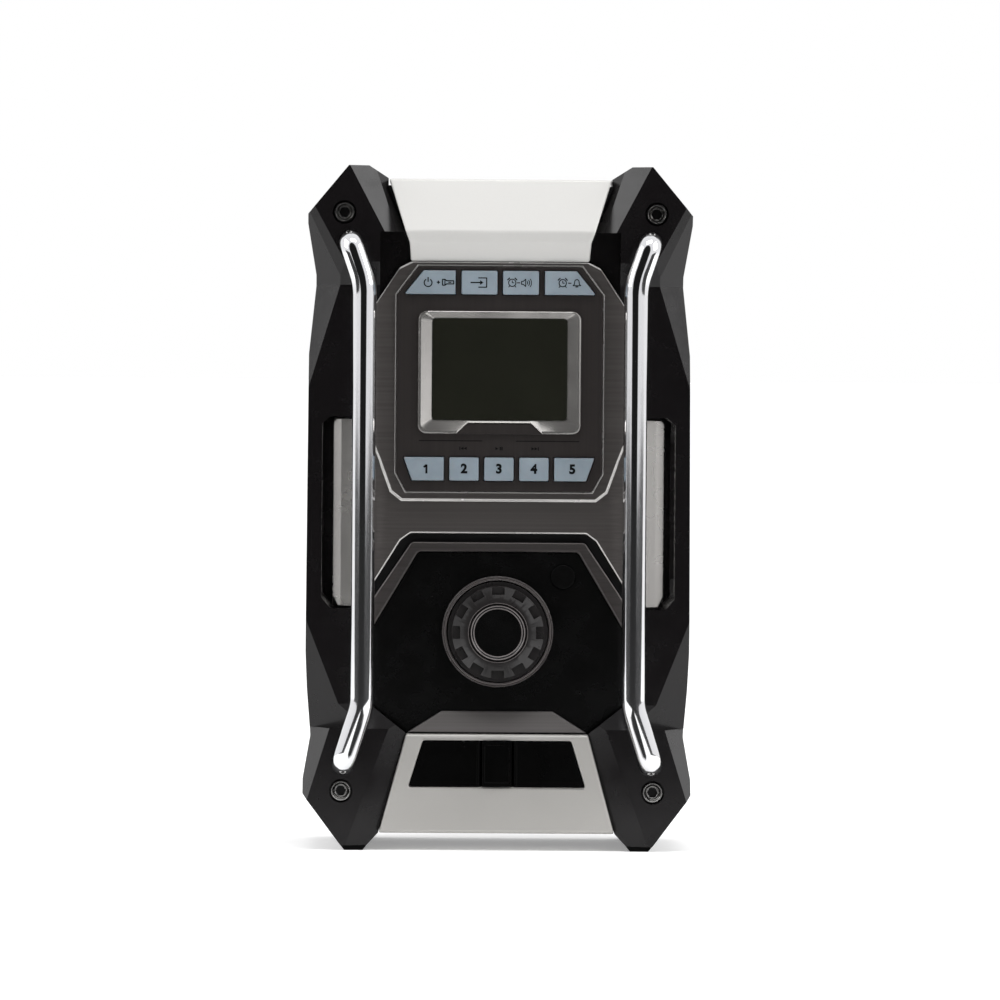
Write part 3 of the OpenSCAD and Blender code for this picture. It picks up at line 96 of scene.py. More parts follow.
class Nodes:
    """A material's node tree with short calls for the nodes used here."""

    def __init__(self, name):
        self.mat = bpy.data.materials.new(name)
        self.mat.use_nodes = True
        self.tree = self.mat.node_tree
        self.bsdf = self.tree.nodes["Principled BSDF"]
        self.coord = self.add("ShaderNodeTexCoord").outputs["Object"]

    def add(self, kind, **values):
        node = self.tree.nodes.new(kind)
        for key, value in values.items():
            setattr(node, key, value)
        return node

    def link(self, a, b):
        self.tree.links.new(a, b)

    def stretched(self, scale):
        node = self.add("ShaderNodeMapping")
        node.inputs["Scale"].default_value = scale
        self.link(self.coord, node.inputs["Vector"])
        return node.outputs["Vector"]

    def noise(self, scale, detail=2.0, rough=0.5, stretch=(1, 1, 1)):
        node = self.add("ShaderNodeTexNoise")
        node.inputs["Scale"].default_value = scale
        node.inputs["Detail"].default_value = detail
        node.inputs["Roughness"].default_value = rough
        self.link(self.stretched(stretch), node.inputs["Vector"])
        return node.outputs["Fac"]

    def cells(self, scale, stretch=(1, 1, 1)):
        node = self.add("ShaderNodeTexVoronoi")
        node.inputs["Scale"].default_value = scale
        self.link(self.stretched(stretch), node.inputs["Vector"])
        return node.outputs["Distance"]

    def spread(self, value, start, end, out_start, out_end):
        node = self.add("ShaderNodeMapRange")
        for i, v in enumerate((start, end, out_start, out_end)):
            node.inputs[i + 1].default_value = v
        self.link(value, node.inputs[0])
        return node.outputs[0]

    def times(self, a, b):
        node = self.add("ShaderNodeMath", operation="MULTIPLY")
        self.link(a, node.inputs[0])
        self.link(b, node.inputs[1])
        return node.outputs[0]

    def blend(self, factor, a, b):
        node = self.add("ShaderNodeMix", data_type="RGBA")
        node.inputs[6].default_value = a
        node.inputs[7].default_value = b
        self.link(factor, node.inputs[0])
        return node.outputs[2]

    def bump(self, value, strength, depth):
        node = self.add("ShaderNodeBump")
        node.inputs["Strength"].default_value = strength
        node.inputs["Distance"].default_value = depth
        self.link(value, node.inputs["Height"])
        return node.outputs["Normal"]

    def done(self, colour=None, rough=None, normal=None, **constants):
        for key, value in constants.items():
            self.bsdf.inputs[key.replace("_", " ")].default_value = value
        for socket, value in (("Base Color", colour), ("Roughness", rough), ("Normal", normal)):
            if value is not None and not isinstance(value, (int, float, tuple)):
                self.link(value, self.bsdf.inputs[socket])
            elif value is not None:
                self.bsdf.inputs[socket].default_value = value
        return self.mat


def shaded(colour, k):
    return (colour[0] * k, colour[1] * k, colour[2] * k, 1)


def moulded(name, colour, rough, grain=2600, depth=0.00006, vary=0.18, **more):
    """Moulded plastic: spark-eroded grain, faint flow marks and uneven gloss."""
    n = Nodes(name)
    fine = n.noise(grain, 3, 0.6)
    broad = n.noise(28, 3, 0.5)
    colour_out = n.blend(broad, shaded(colour, 1 - vary), shaded(colour, 1 + vary))
    rough_out = n.spread(n.noise(90, 4, 0.6), 0.3, 0.7, rough - 0.05, rough + 0.06)
    return n.done(colour_out, rough_out, n.bump(fine, 0.5, depth), **more)


def brushed(name, colour, rough, metal, along="x", depth=0.000004, vary=0.2, **more):
    """Brushed finish: long fine scratches along one axis."""
    n = Nodes(name)
    stretch = (1, SCRATCH, SCRATCH) if along == "x" else (SCRATCH, SCRATCH, 1)
    lines = n.noise(2.4, 1, 0.5, stretch)
    tint = n.blend(lines, shaded(colour, 1 - vary), shaded(colour, 1 + vary))
    rough_out = n.spread(lines, 0.3, 0.7, rough - 0.02, rough + 0.02)
    return n.done(tint, rough_out, n.bump(lines, 0.5, depth), Metallic=metal, **more)


def flaked(name, colour, rough, metal, vary=0.05, **more):
    """Silver paint: fine metal flakes under a satin lacquer."""
    n = Nodes(name)
    flakes = n.cells(5200)
    tint = n.blend(flakes, shaded(colour, 1 + vary), shaded(colour, 1 - vary))
    rough_out = n.spread(n.noise(60, 3), 0.3, 0.7, rough - 0.04, rough + 0.05)
    return n.done(tint, rough_out, n.bump(n.noise(1800, 2), 0.25, 0.00002), Metallic=metal, **more)


def polished(name, colour, rough):
    """Plated metal with very fine polishing marks."""
    n = Nodes(name)
    marks = n.noise(160, 4, 0.6, (30, 30, 1))
    rough_out = n.spread(marks, 0.3, 0.75, rough, rough + 0.05)
    tint = n.blend(n.noise(35, 2), shaded(colour, 0.97), colour)
    return n.done(tint, rough_out, n.bump(marks, 0.12, 0.000008), Metallic=1.0)


def key_material():
    """Pale blue key caps: satin, a little translucent and faintly clouded."""
    n = Nodes("key_plastic")
    cloud = n.blend(n.noise(120, 3, 0.6), tone(121, 133, 142), tone(147, 159, 168))
    rough = n.spread(n.noise(600, 3), 0.3, 0.7, 0.30, 0.42)
    return n.done(cloud, rough, n.bump(n.noise(3000, 2), 0.3, 0.00003),
        Subsurface_Weight=0.12, Subsurface_Scale=0.001, Coat_Weight=0.15)


def lcd_material():
    """The display: a dark liquid-crystal window under a clear sheet."""
    n = Nodes("display_glass")
    tint = n.blend(n.noise(40, 3, 0.5), tone(24, 25, 19), tone(33, 34, 26))
    rough = n.spread(n.noise(500, 2), 0.3, 0.7, 0.20, 0.26)
    return n.done(tint, rough, n.bump(n.noise(2400, 2), 0.2, 0.00001),
        Coat_Weight=0.6, Coat_Roughness=0.08, Specular_IOR_Level=0.35)


def clear_material():
    n = Nodes("clear_lens")
    return n.done(tone(225, 230, 235), n.spread(n.noise(500, 2), 0.3, 0.7, 0.05, 0.12),
        n.bump(n.cells(900), 0.4, 0.0002), Transmission_Weight=0.9, IOR=1.49)


MATERIALS = {
    "guard_plastic": moulded("guard_plastic", tone(19, 17, 18), 0.24, grain=1500, depth=0.00005,
        Specular_IOR_Level=0.3),
    "case_plastic": moulded("case_plastic", tone(15, 14, 15), 0.4, Specular_IOR_Level=0.4),
    "silver_plastic": flaked("silver_plastic", tone(190, 188, 184), 0.42, 0.35),
    "brushed_grey": brushed("brushed_grey", tone(100, 96, 94), 0.30, 0.6),
    "panel_plastic": brushed("panel_plastic", tone(52, 48, 47), 0.42, 0.3, along="z", vary=0.12,
        Specular_IOR_Level=0.3),
    "display_glass": lcd_material(),
    "chrome_bar": polished("chrome_bar", tone(232, 232, 234), 0.05),
    "screw_steel": polished("screw_steel", tone(190, 189, 187), 0.07),
    "key_plastic": key_material(),
    "rubber": moulded("rubber", tone(5, 5, 5), 0.3, grain=3400, depth=0.00006, Specular_IOR_Level=0.06),
    "socket_steel": polished("socket_steel", tone(190, 190, 188), 0.25),
    "dark_plastic": moulded("dark_plastic", tone(20, 19, 19), 0.30, grain=3000, depth=0.00003,
        Specular_IOR_Level=0.45),
    "cone_paper": moulded("cone_paper", tone(34, 33, 33), 0.85, grain=1400, depth=0.0002),
    "circuit_board": moulded("circuit_board", tone(24, 74, 46), 0.45),
    "switch_metal": polished("switch_metal", tone(180, 180, 178), 0.3),
    "contact_brass": polished("contact_brass", tone(198, 164, 96), 0.25),
    "clear_lens": clear_material(),
    "led_plastic": moulded("led_plastic", tone(236, 226, 180), 0.35),
}
EXTRA = {
    "knob_panel": moulded("knob_panel_plastic", tone(9, 9, 9), 0.25, grain=3200, depth=0.00001,
        Specular_IOR_Level=0.25),
    # Black print, also used as painted shade at the bottoms of the screw sockets
    "print_and_shade": moulded("print_and_shade_black", tone(5, 5, 6), 0.5, Specular_IOR_Level=0.2),
    # Painted highlight: a light finish for the fascia's rounded edges
    "edge": flaked("painted_highlight_edge", tone(225, 223, 220), 0.25, 0.4, vary=0.02),
    "band": brushed("brushed_band", tone(84, 80, 79), 0.30, 0.6),
    "chin": brushed("brushed_chin", tone(86, 83, 82), 0.34, 0.5),
    "knob": moulded("knob_plastic", tone(34, 32, 32), 0.30, grain=3000, depth=0.00002),
    # Painted highlight: a light copy of the knob plastic for the knob's rounded rims
    "rim": moulded("knob_rim_painted_highlight", tone(112, 106, 105), 0.30, grain=3000, depth=0.00002),
    "knob_cap": moulded("knob_disc", tone(8, 8, 8), 0.2, grain=3000, depth=0.00001,
        Specular_IOR_Level=0.4),
    "grille": flaked("grille_silver", tone(222, 219, 215), 0.25, 0.85, vary=0.03),
    "bezel": flaked("bezel_silver", tone(224, 221, 217), 0.22, 0.9, vary=0.03),
    "cap": flaked("cap_silver", tone(214, 213, 210), 0.40, 0.15, vary=0.03),
}
SLOT_OF = {p["node"]: p["material_slot"] for p in frame["record"]["subparts"]}


# ---- Pieces --------------------------------------------------------------------------------

def piece(name, mesh, body, slot, material=None):
    """A new piece on a CAD body, in the given material or else in the finish of one of the record's
    slots.
    """
    obj = bpy.data.objects.new(name, mesh)
    scene.collection.objects.link(obj)
    mesh.materials.clear()
    mesh.materials.append(material or MATERIALS[slot])
    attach(obj, body)
    return obj


def finish_mesh(bm, name, sharp=40):
    """Smooth faces with sharp edges where they meet steeply."""
    bmesh.ops.recalc_face_normals(bm, faces=bm.faces)
    for f in bm.faces:
        f.smooth = True
    for e in bm.edges:
        e.smooth = len(e.link_faces) == 2 and e.calc_face_angle(0) < math.radians(sharp)
    mesh = bpy.data.meshes.new(name)
    bm.to_mesh(mesh)
    bm.free()
    return mesh


def settle(obj):
    """Applies the modifiers to the mesh."""
    bpy.context.view_layer.update()
    graph = bpy.context.evaluated_depsgraph_get()
    mesh = bpy.data.meshes.new_from_object(obj.evaluated_get(graph))
    obj.modifiers.clear()
    obj.data = mesh


def join_flat(bm):
    """Joins coplanar neighbours, but never round a hole."""
    for edge in list(bm.edges):
        if not edge.is_valid or len(edge.link_faces) != 2:
            continue
        a, b = edge.link_faces
        if a.normal.dot(b.normal) < 0.99995:
            continue
        shared = sum(b in e.link_faces for e in a.edges)
        if len(set(a.verts) & set(b.verts)) == shared + 1:
            bmesh.utils.face_join((a, b), True)
    spare = [v for v in bm.verts if len(v.link_edges) == 2 and v.calc_edge_angle(1) < 0.002]
    bmesh.ops.dissolve_verts(bm, verts=spare)


def flat_faces(bm, area):
    """Which faces belong to a flat region of at least the area, given in square millimetres."""
    region, sizes = {}, []
    for first in bm.faces:
        if first in region:
            continue
        stack, size = [first], 0
        region[first] = len(sizes)
        while stack:
            face = stack.pop()
            size += face.calc_area()
            for other in (f for e in face.edges for f in e.link_faces):
                if other not in region and other.normal.dot(first.normal) > 0.99992:
                    region[other] = len(sizes)
                    stack.append(other)
        sizes.append(size)
    return {f for f in bm.faces if sizes[region[f]] > area * MM * MM}


def facing(face):
    """A face's direction; a sliver takes its largest neighbour's, unless it is turned over."""
    longest = max(e.calc_length() for e in face.edges)
    near = max((f for e in face.edges for f in e.link_faces), key=lambda f: f.calc_area()).normal
    return face.normal if face.calc_area() > longest * SLIVER or near.dot(face.normal) < 0 else near


def even_normals(mesh, area, sharp=47):
    """Large flat faces keep their own direction, and the rounded edges between them blend."""
    bm = bmesh.new()
    bm.from_mesh(mesh)
    bmesh.ops.holes_fill(bm, edges=[e for e in bm.edges if e.is_boundary])
    bmesh.ops.recalc_face_normals(bm, faces=bm.faces)
    flat = flat_faces(bm, area)
    limit = math.cos(math.radians(sharp))
    normals = []
    for face in bm.faces:
        way = facing(face)
        for vert in (loop.vert for loop in face.loops):
            near = [f for f in vert.link_faces if f.normal.dot(way) > limit]
            if face in flat:
                near = [face]
            elif any(f in flat for f in near):
                near = [f for f in near if f in flat]
            total = Vector()
            for f in near:
                total += f.normal * f.calc_area()
            normals.append(total.normalized() if total.length > 0 else way)
    for face in bm.faces:
        face.smooth = True
    for edge in bm.edges:
        edge.smooth = True
    bm.to_mesh(mesh)
    bm.free()
    mesh.normals_split_custom_set(normals)


def round_corners(bm, width, least=12, most=75):
    """Rounds the outline's corners, whose edges run front to back."""
    edges = [e for e in bm.edges if len(e.link_faces) == 2
        and math.radians(least) < e.calc_face_angle(0) < math.radians(most)
        and abs((e.verts[0].co - e.verts[1].co).normalized().y) > 0.999]
    bmesh.ops.bevel(bm, geom=edges, offset=width * MM, offset_type="WIDTH", segments=5, profile=0.5,
        affect="EDGES", clamp_overlap=True)


def weigh_edges(mesh, angle):
    """Marks the edges to round: those where two faces meet at more than the angle."""
    bm = bmesh.new()
    bm.from_mesh(mesh)
    weight = bm.edges.layers.float.new("bevel_weight_edge")
    for edge in bm.edges:
        if len(edge.link_faces) == 2:
            a, b = (facing(f) for f in edge.link_faces)
            edge[weight] = float(a.angle(b, 0) > math.radians(angle))
    bm.to_mesh(mesh)
    bm.free()


def softened(node, width=0.4, segments=2, material=None, angle=28, flat=25, corners=0,
        joined=True, edge=None, clamp=True):
    """A copy of a CAD node with rounded edges, which stands for it.

    width and corners are in millimetres, angle is the least bend in degrees that is rounded, and
    flat is the least area in square millimetres of a face that keeps its own direction. edge is a
    second material for the rounded edges, lighter than the rest: a painted highlight.
    """
    source = NODES[node]
    bm = bmesh.new()
    bm.from_mesh(source.data)
    bmesh.ops.remove_doubles(bm, verts=bm.verts, dist=2e-6)
    if joined:
        join_flat(bm)
    if corners:
        round_corners(bm, corners)
    mesh = finish_mesh(bm, node + "_shell", 30)
    obj = piece(node + "_shell", mesh, source["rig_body"], SLOT_OF[node], material)
    weigh_edges(obj.data, angle)
    mod = obj.modifiers.new("Round", "BEVEL")
    mod.width = width * MM
    mod.segments = segments
    mod.limit_method = "WEIGHT"
    mod.miter_outer = "MITER_ARC" if joined else "MITER_SHARP"
    mod.use_clamp_overlap = clamp
    if edge:
        obj.data.materials.append(edge)
        mod.material = 1
    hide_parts(node)
    settle(obj)
    even_normals(obj.data, flat)


def dress_nodes():
    """Gives each CAD node its own listed finish where there is one, else the material of its slot."""
    for name, obj in NODES.items():
        obj.data.materials.clear()
        obj.data.materials.append(EXTRA.get(name) or MATERIALS[SLOT_OF[name]])


def prism(bm, points, y0, y1):
    """A flat shape in X and Z, given in metres, from depth y0 to y1."""
    front = [bm.verts.new((x, y0, z)) for x, z in points]
    back = [bm.verts.new((x, y1, z)) for x, z in points]
    bm.faces.new(front)
    bm.faces.new(list(reversed(back)))
    for i in range(len(points)):
        k = (i + 1) % len(points)
        bm.faces.new((front[i], back[i], back[k], front[k]))


def ribbon(bm, points, width, y0, y1):
    """A stroke of even width along a line of points in X and Z."""
    for (ax, az), (bx, bz) in zip(points, points[1:]):
        dx, dz = bx - ax, bz - az
        n = math.hypot(dx, dz)
        sx, sz = -dz / n * width / 2, dx / n * width / 2
        ex, ez = dx / n * width * 0.2, dz / n * width * 0.2
        prism(bm, [(ax + sx - ex, az + sz - ez), (bx + sx + ex, bz + sz + ez),
            (bx - sx + ex, bz - sz + ez), (ax - sx - ex, az - sz - ez)], y0, y1)


def arc(cx, cz, r, start, end, steps=20):
    """Points round a centre, angles in degrees from +X towards +Z."""
    return [(cx + r * math.cos(math.radians(start + (end - start) * i / steps)),
        cz + r * math.sin(math.radians(start + (end - start) * i / steps))) for i in range(steps + 1)]


# ---- Stage ---------------------------------------------------------------------------------

FILM = 36
PHOTO_PX = 1000


def camera():
    """A long lens in front, at the photograph's angle."""
    cam = bpy.data.cameras.new("Camera")
    obj = bpy.data.objects.new("Camera", cam)
    scene.collection.objects.link(obj)
    scene.camera = obj
    px = 0.4105 * MM
    focus = Vector((0.55 * MM, -0.034, 144.1 * MM))
    distance = 3.0
    side, up = math.radians(-0.8), math.radians(1.3)
    back = Vector((math.sin(side) * math.cos(up), -math.cos(side) * math.cos(up), math.sin(up)))
    obj.location = focus + back * distance
    turn = (-back).to_track_quat("-Z", "Y").to_matrix()
    roll = Matrix.Rotation(math.radians(0.42), 3, "Z")
    obj.rotation_euler = (turn @ roll).to_euler()
    cam.sensor_width = FILM
    cam.lens = FILM * distance / (PHOTO_PX * px)
    cam.clip_end = 50


def lamp(name, place, target, width, height, power):
    """A white rectangular area lamp, in watts, aimed at the target."""
    data = bpy.data.lights.new(name, "AREA")
    data.shape = "RECTANGLE"
    data.size, data.size_y = width, height
    data.energy = power
    obj = bpy.data.objects.new(name, data)
    scene.collection.objects.link(obj)
    obj.location = place
    obj.rotation_euler = (Vector(target) - Vector(place)).to_track_quat("-Z", "Y").to_euler()


def floor():
    """A pale floor, seen a little brighter than it is lit, with dark zones that only mirrors see, and
    elsewhere a glow that only mirrors see: a painted reflection.
    """
    bm = bmesh.new()
    corners = [bm.verts.new((x, y, 0)) for x, y in ((-12, -6), (12, -6), (12, 30), (-12, 30))]
    bm.faces.new(corners)
    mesh = finish_mesh(bm, "Floor")
    obj = bpy.data.objects.new("Floor", mesh)
    scene.collection.objects.link(obj)
    n = Nodes("floor")
    path = n.add("ShaderNodeLightPath")
    pale = n.blend(n.noise(3, 2), tone(248, 248, 248), tone(252, 252, 252))
    split = n.add("ShaderNodeSeparateXYZ")
    n.link(n.coord, split.inputs[0])
    middle = n.add("ShaderNodeMath", operation="ABSOLUTE")
    n.link(split.outputs["X"], middle.inputs[0])
    dark = n.add("ShaderNodeMath", operation="MAXIMUM")
    n.link(n.spread(split.outputs["Y"], -0.31, -0.36, 0, 1), dark.inputs[0])
    strip = n.spread(middle.outputs[0], 0.036, 0.046, 1, 0)
    start = n.spread(split.outputs["Y"], -0.08, -0.11, 0, 1)
    n.link(n.times(strip, start), dark.inputs[1])
    front = n.times(dark.outputs[0], path.outputs["Is Glossy Ray"])
    mix = n.add("ShaderNodeMix", data_type="RGBA")
    n.link(front, mix.inputs[0])
    n.link(pale, mix.inputs[6])
    mix.inputs[7].default_value = (0.02, 0.02, 0.02, 1)
    n.done(mix.outputs[2], 0.75, Specular_IOR_Level=0.1)
    # Painted reflection: outside the dark zones the floor glows for mirror rays
    glow = n.times(n.spread(dark.outputs[0], 0, 1, 0.2, 0), path.outputs["Is Glossy Ray"])
    seen = n.add("ShaderNodeMath", operation="MULTIPLY_ADD")
    seen.inputs[1].default_value = 0.28
    n.link(path.outputs["Is Camera Ray"], seen.inputs[0])
    n.link(glow, seen.inputs[2])
    n.bsdf.inputs["Emission Color"].default_value = (1, 1, 1, 1)
    n.link(seen.outputs[0], n.bsdf.inputs["Emission Strength"])
    mesh.materials.append(n.mat)


def world():
    """A white studio whose front, behind the camera, is dark, further round on the left and up."""
    w = bpy.data.worlds.new("Studio")
    scene.world = w
    w.use_nodes = True
    tree = w.node_tree
    coord = tree.nodes.new("ShaderNodeTexCoord")
    lean = tree.nodes.new("ShaderNodeVectorMath")
    lean.operation = "DOT_PRODUCT"
    lean.inputs[1].default_value = (0.08, 0.5, -0.16)
    tree.links.new(coord.outputs["Generated"], lean.inputs[0])
    half = tree.nodes.new("ShaderNodeMath")
    half.operation = "ADD"
    half.inputs[1].default_value = 0.5
    tree.links.new(lean.outputs["Value"], half.inputs[0])
    ramp = tree.nodes.new("ShaderNodeValToRGB")
    tree.links.new(half.outputs[0], ramp.inputs[0])
    stops = ramp.color_ramp.elements
    stops[0].position, stops[0].color = 0.048, (0.012, 0.012, 0.012, 1)
    stops[1].position, stops[1].color = 0.60, (1, 1, 1, 1)
    middle = stops.new(0.066)
    middle.color = (0.90, 0.90, 0.91, 1)
    path = tree.nodes.new("ShaderNodeLightPath")
    seen = tree.nodes.new("ShaderNodeMix")
    seen.data_type = "RGBA"
    seen.inputs[7].default_value = (1, 1, 1, 1)
    tree.links.new(path.outputs["Is Camera Ray"], seen.inputs[0])
    tree.links.new(ramp.outputs[0], seen.inputs[6])
    tree.links.new(seen.outputs[2], tree.nodes["Background"].inputs["Color"])


def lights():
    """Two upright boxes beside the radio, and a wide one above the camera."""
    lamp("Right", (1.36, -0.40, 0.94), (0, 0, 0.18), 0.8, 0.9, 10)
    lamp("Left", (-1.36, -0.40, 0.94), (0, 0, 0.18), 0.8, 0.9, 9)
    lamp("Top", (0.1, -0.66, 1.82), (0, 0, 0.2), 1.2, 0.5, 7)


# ---- Guards, case and panels ---------------------------------------------------------------

SCREW_D = 8.7 * MM
SOCKET_R = 2.2 * MM
SOCKET_DEPTH = 2.5 * MM


def socket_shades():
    """Black discs at the bottoms of the hexagonal sockets in the corner screws: painted shade in the
    deep sockets.
    """
    lo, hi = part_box("guard_screws")
    r, y = SCREW_D / 2, lo.y + SOCKET_DEPTH
    bm = bmesh.new()
    for x in (lo.x + r, hi.x - r):
        for z in (lo.z + r, hi.z - r):
            prism(bm, arc(x, z, SOCKET_R, 0, 300, 5), y - INK, y + INK)
    piece("socket_shades", finish_mesh(bm, "socket_shades"), "radio", "dark_plastic", EXTRA["print_and_shade"])


def ease_latch():
    """Lifts the latch's lower face a hair, so that it stops just short of its window's end."""
    end = low("battery_latch", "z") + INK
    for v in bpy.data.objects["battery_latch_shell"].data.vertices:
        if v.co.z < end:
            v.co.z = end + INK


def shells():
    """Rounded copies of the guards, case, panels, grilles, flaps and screws."""
    for node in ("left_guard", "right_guard"):
        softened(node, 0.5, 2, angle=7, flat=60)
    softened("top_cap", 0.8, 3, EXTRA["cap"], angle=7)
    softened("bottom_panel", 0.9, 3)
    # The fascia's rounded edges carry the painted highlight
    softened("fascia", 0.6, 3, angle=20, flat=1200, joined=False, edge=EXTRA["edge"], clamp=False)
    softened("display_panel", 0.25, 2, flat=200, joined=False)
    softened("knob_panel", 0.25, 2, EXTRA["knob_panel"], corners=1.5)
    softened("knob_frame", 0.7, 3, EXTRA["band"], corners=2)
    softened("chin_trim", 0.4, 2, EXTRA["chin"])
    for node in ("left_grille", "right_grille"):
        softened(node, 0.3, 2, EXTRA["grille"], angle=10, joined=False)
    for node in ("socket_block", "left_socket_flap", "right_socket_flap"):
        softened(node, 0.3, 2)
    for node in ("front_housing", "rear_cover", "battery_door", "battery_latch"):
        softened(node, 0.4, 2, joined=False)
    ease_latch()
    for node in ("rear_screws", "antenna_rod", "dc_cap", "foot_pads"):
        softened(node, 0.2, 2)
    softened("guard_screws", 0.2, 2, angle=20, flat=1)
    socket_shades()


KEYS = ["power_key", "source_key", "alarm_sound_key", "alarm_bell_key"] + [
    f"preset_key_{i}" for i in range(1, 6)]


def keys():
    """Rounded copies of the keys and the menu button."""
    for node in KEYS:
        softened(node, 0.25, 2)
    softened("menu_button", 0.3, 2, EXTRA["knob_panel"])


def knob():
    """Rounded copies of the knob, its ring and its disc, with lighter rims: a painted highlight."""
    softened("volume_knob", 0.3, 2, EXTRA["knob"], flat=200, edge=EXTRA["rim"])
    softened("knob_ring", 0.2, 2, EXTRA["knob"], flat=200, edge=EXTRA["rim"])
    softened("knob_cap", 0.25, 2, EXTRA["knob_cap"], flat=100, edge=EXTRA["rim"])


# ---- Bars ----------------------------------------------------------------------------------

def tube(bm, line, radius, sides):
    """A round tube along a line of points that lies in planes close to upright."""
    rings = []
    across = Vector((1, 0, 0))
    for i, p in enumerate(line):
        way = (line[min(i + 1, len(line) - 1)] - line[max(i - 1, 0)]).normalized()
        across = (across - way * across.dot(way)).normalized()
        up = way.cross(across)
        rings.append([bm.verts.new(p + radius * (math.cos(t) * across + math.sin(t) * up))
            for t in (2 * math.pi * k / sides for k in range(sides))])
    for a, b in zip(rings, rings[1:]):
        for k in range(sides):
            bm.faces.new((a[k], a[(k + 1) % sides], b[(k + 1) % sides], b[k]))
    bm.faces.new(list(reversed(rings[0])))
    bm.faces.new(rings[-1])


BAR_D = 9.8 * MM
BAR_X = low("right_bar", "x") + BAR_D / 2
BAR_Y = low("right_bar", "y") + BAR_D / 2
BAR_END_Y = high("right_bar", "y")
BAR_FOLD = 5.3 * MM
BAR_LEAN = 1.7 / 20
BAR_SLACK = 0.02 * MM
BAR_SIDES = 48


def bar_half(z, up, bend, turn, run):
    """One end of a bar: it flares outwards by turn, leans back, runs on and plunges into the guard."""
    rise, back = Vector((0, 0, up)), Vector((0, 1, 0))
    way = Vector((math.tan(math.radians(turn)), BAR_LEAN, up)).normalized()
    out = Vector((way.x, way.y, 0)).normalized()
    flare, fold = math.acos(abs(way.z)), math.acos(way.y)
    inwards = (back - way.y * way).normalized()
    start = Vector((BAR_X, BAR_Y, z))
    line = [start + bend * (math.sin(t) * rise + (1 - math.cos(t)) * out)
        for t in (flare * i / 10 for i in range(11))]
    start = line[-1] + run * way
    line += [start + BAR_FOLD * (math.sin(t) * way + (1 - math.cos(t)) * inwards)
        for t in (fold * i / 12 for i in range(13))]
    end = line[-1].copy()
    end.y = BAR_END_Y
    return line + [end]


def bars():
    """Both bars: the two ends joined by a straight middle, and mirrored to the other side."""
    lower = bar_half(z=63 * MM, up=-1, bend=20 * MM, turn=17.5, run=17 * MM)
    upper = bar_half(z=BODY_H - 53.5 * MM, up=1, bend=30 * MM, turn=19, run=8.2 * MM)
    straight = [lower[0].lerp(upper[0], i / 12) for i in range(1, 12)]
    line = list(reversed(lower)) + straight + upper
    for node, side in (("left_bar", -1), ("right_bar", 1)):
        bm = bmesh.new()
        tube(bm, [Vector((side * p.x, p.y, p.z)) for p in line], BAR_D / 2 - BAR_SLACK, BAR_SIDES)
        obj = piece(node + "_tube", finish_mesh(bm, node + "_tube", 50), "radio", "chrome_bar")
        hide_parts(node)


# ---- Display -------------------------------------------------------------------------------

def rounded(points, radii, steps=5):
    """A closed outline with each corner rounded by its radius."""
    out = []
    n = len(points)
    for i, r in enumerate(radii):
        a, b, c = (Vector(points[(i + k) % n]) for k in (-1, 0, 1))
        if r <= 0:
            out.append(b)
            continue
        u, v = (a - b).normalized(), (c - b).normalized()
        half = math.acos(max(-1, min(1, u.dot(v)))) / 2
        reach = r / math.tan(half)
        centre = b + (u + v).normalized() * (r / math.sin(half))
        p, q = b + u * reach, b + v * reach
        start = math.atan2(p.y - centre.y, p.x - centre.x)
        sweep = math.atan2(q.y - centre.y, q.x - centre.x) - start
        sweep = (sweep + math.pi) % (2 * math.pi) - math.pi
        turns = (start + sweep * k / steps for k in range(steps + 1))
        out += [centre + r * Vector((math.cos(t), math.sin(t))) for t in turns]
    return out


def bezel():
    """The display's surround: a narrow crest outside and mitred faces that fall to the glass."""
    lo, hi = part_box("display_bezel")
    g_lo, g_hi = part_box("display_glass")
    front, back = lo.y, hi.y
    tip, root, dip = 13.1 * MM, 17.65 * MM, 4.4 * MM
    outer = [(lo.x, hi.z), (lo.x, lo.z), (-root, lo.z), (-tip, lo.z + dip), (tip, lo.z + dip),
        (root, lo.z), (hi.x, lo.z), (hi.x, hi.z)]
    inner = [(g_lo.x, g_hi.z), (g_lo.x, g_lo.z), (-root + 1.2 * MM, g_lo.z), (-tip + 0.4 * MM, g_lo.z),
        (tip - 0.4 * MM, g_lo.z), (root - 1.2 * MM, g_lo.z), (g_hi.x, g_lo.z), (g_hi.x, g_hi.z)]
    r_out, r_in = 3.6 * MM, 0.9 * MM
    radii_out = [r_out, r_out, 0, 0, 0, 0, r_out, r_out]
    radii_in = [r_in, r_in, 0, 0, 0, 0, r_in, r_in]
    a, b = rounded(outer, radii_out), rounded(inner, radii_in)
    levels = [(0.0, back), (0.0, front + 0.5 * MM), (0.05, front + 0.12 * MM), (0.12, front),
        (0.17, front), (0.22, front + 0.08 * MM), (0.93, back - 0.45 * MM),
        (1.0, back - 0.35 * MM), (1.0, back)]
    bm = bmesh.new()
    rings = [[bm.verts.new((p.x + (q.x - p.x) * t, y, p.y + (q.y - p.y) * t)) for p, q in zip(a, b)]
        for t, y in levels]
    n = len(a)
    for u, v in zip(rings, rings[1:] + rings[:1]):
        for k in range(n):
            bm.faces.new((u[k], u[(k + 1) % n], v[(k + 1) % n], v[k]))
    obj = piece("display_bezel_frame", finish_mesh(bm, "display_bezel_frame", 24), "radio",
        SLOT_OF["display_bezel"], EXTRA["bezel"])
    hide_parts("display_bezel")


# ---- Marks on keys and panel ---------------------------------------------------------------

PRESET_Z = (low("preset_key_3", "z") + high("preset_key_3", "z")) / 2
KEY_Z = (low("source_key", "z") + high("source_key", "z")) / 2
MARK_Z = high("preset_key_3", "z") + 3.1 * MM
INK_SPREAD = 1.35
# In millimetres: the numbers on the two outer preset keys stand off their keys' middles
OUTER_DIGIT_X = {1: -29.8, 5: 30.1}


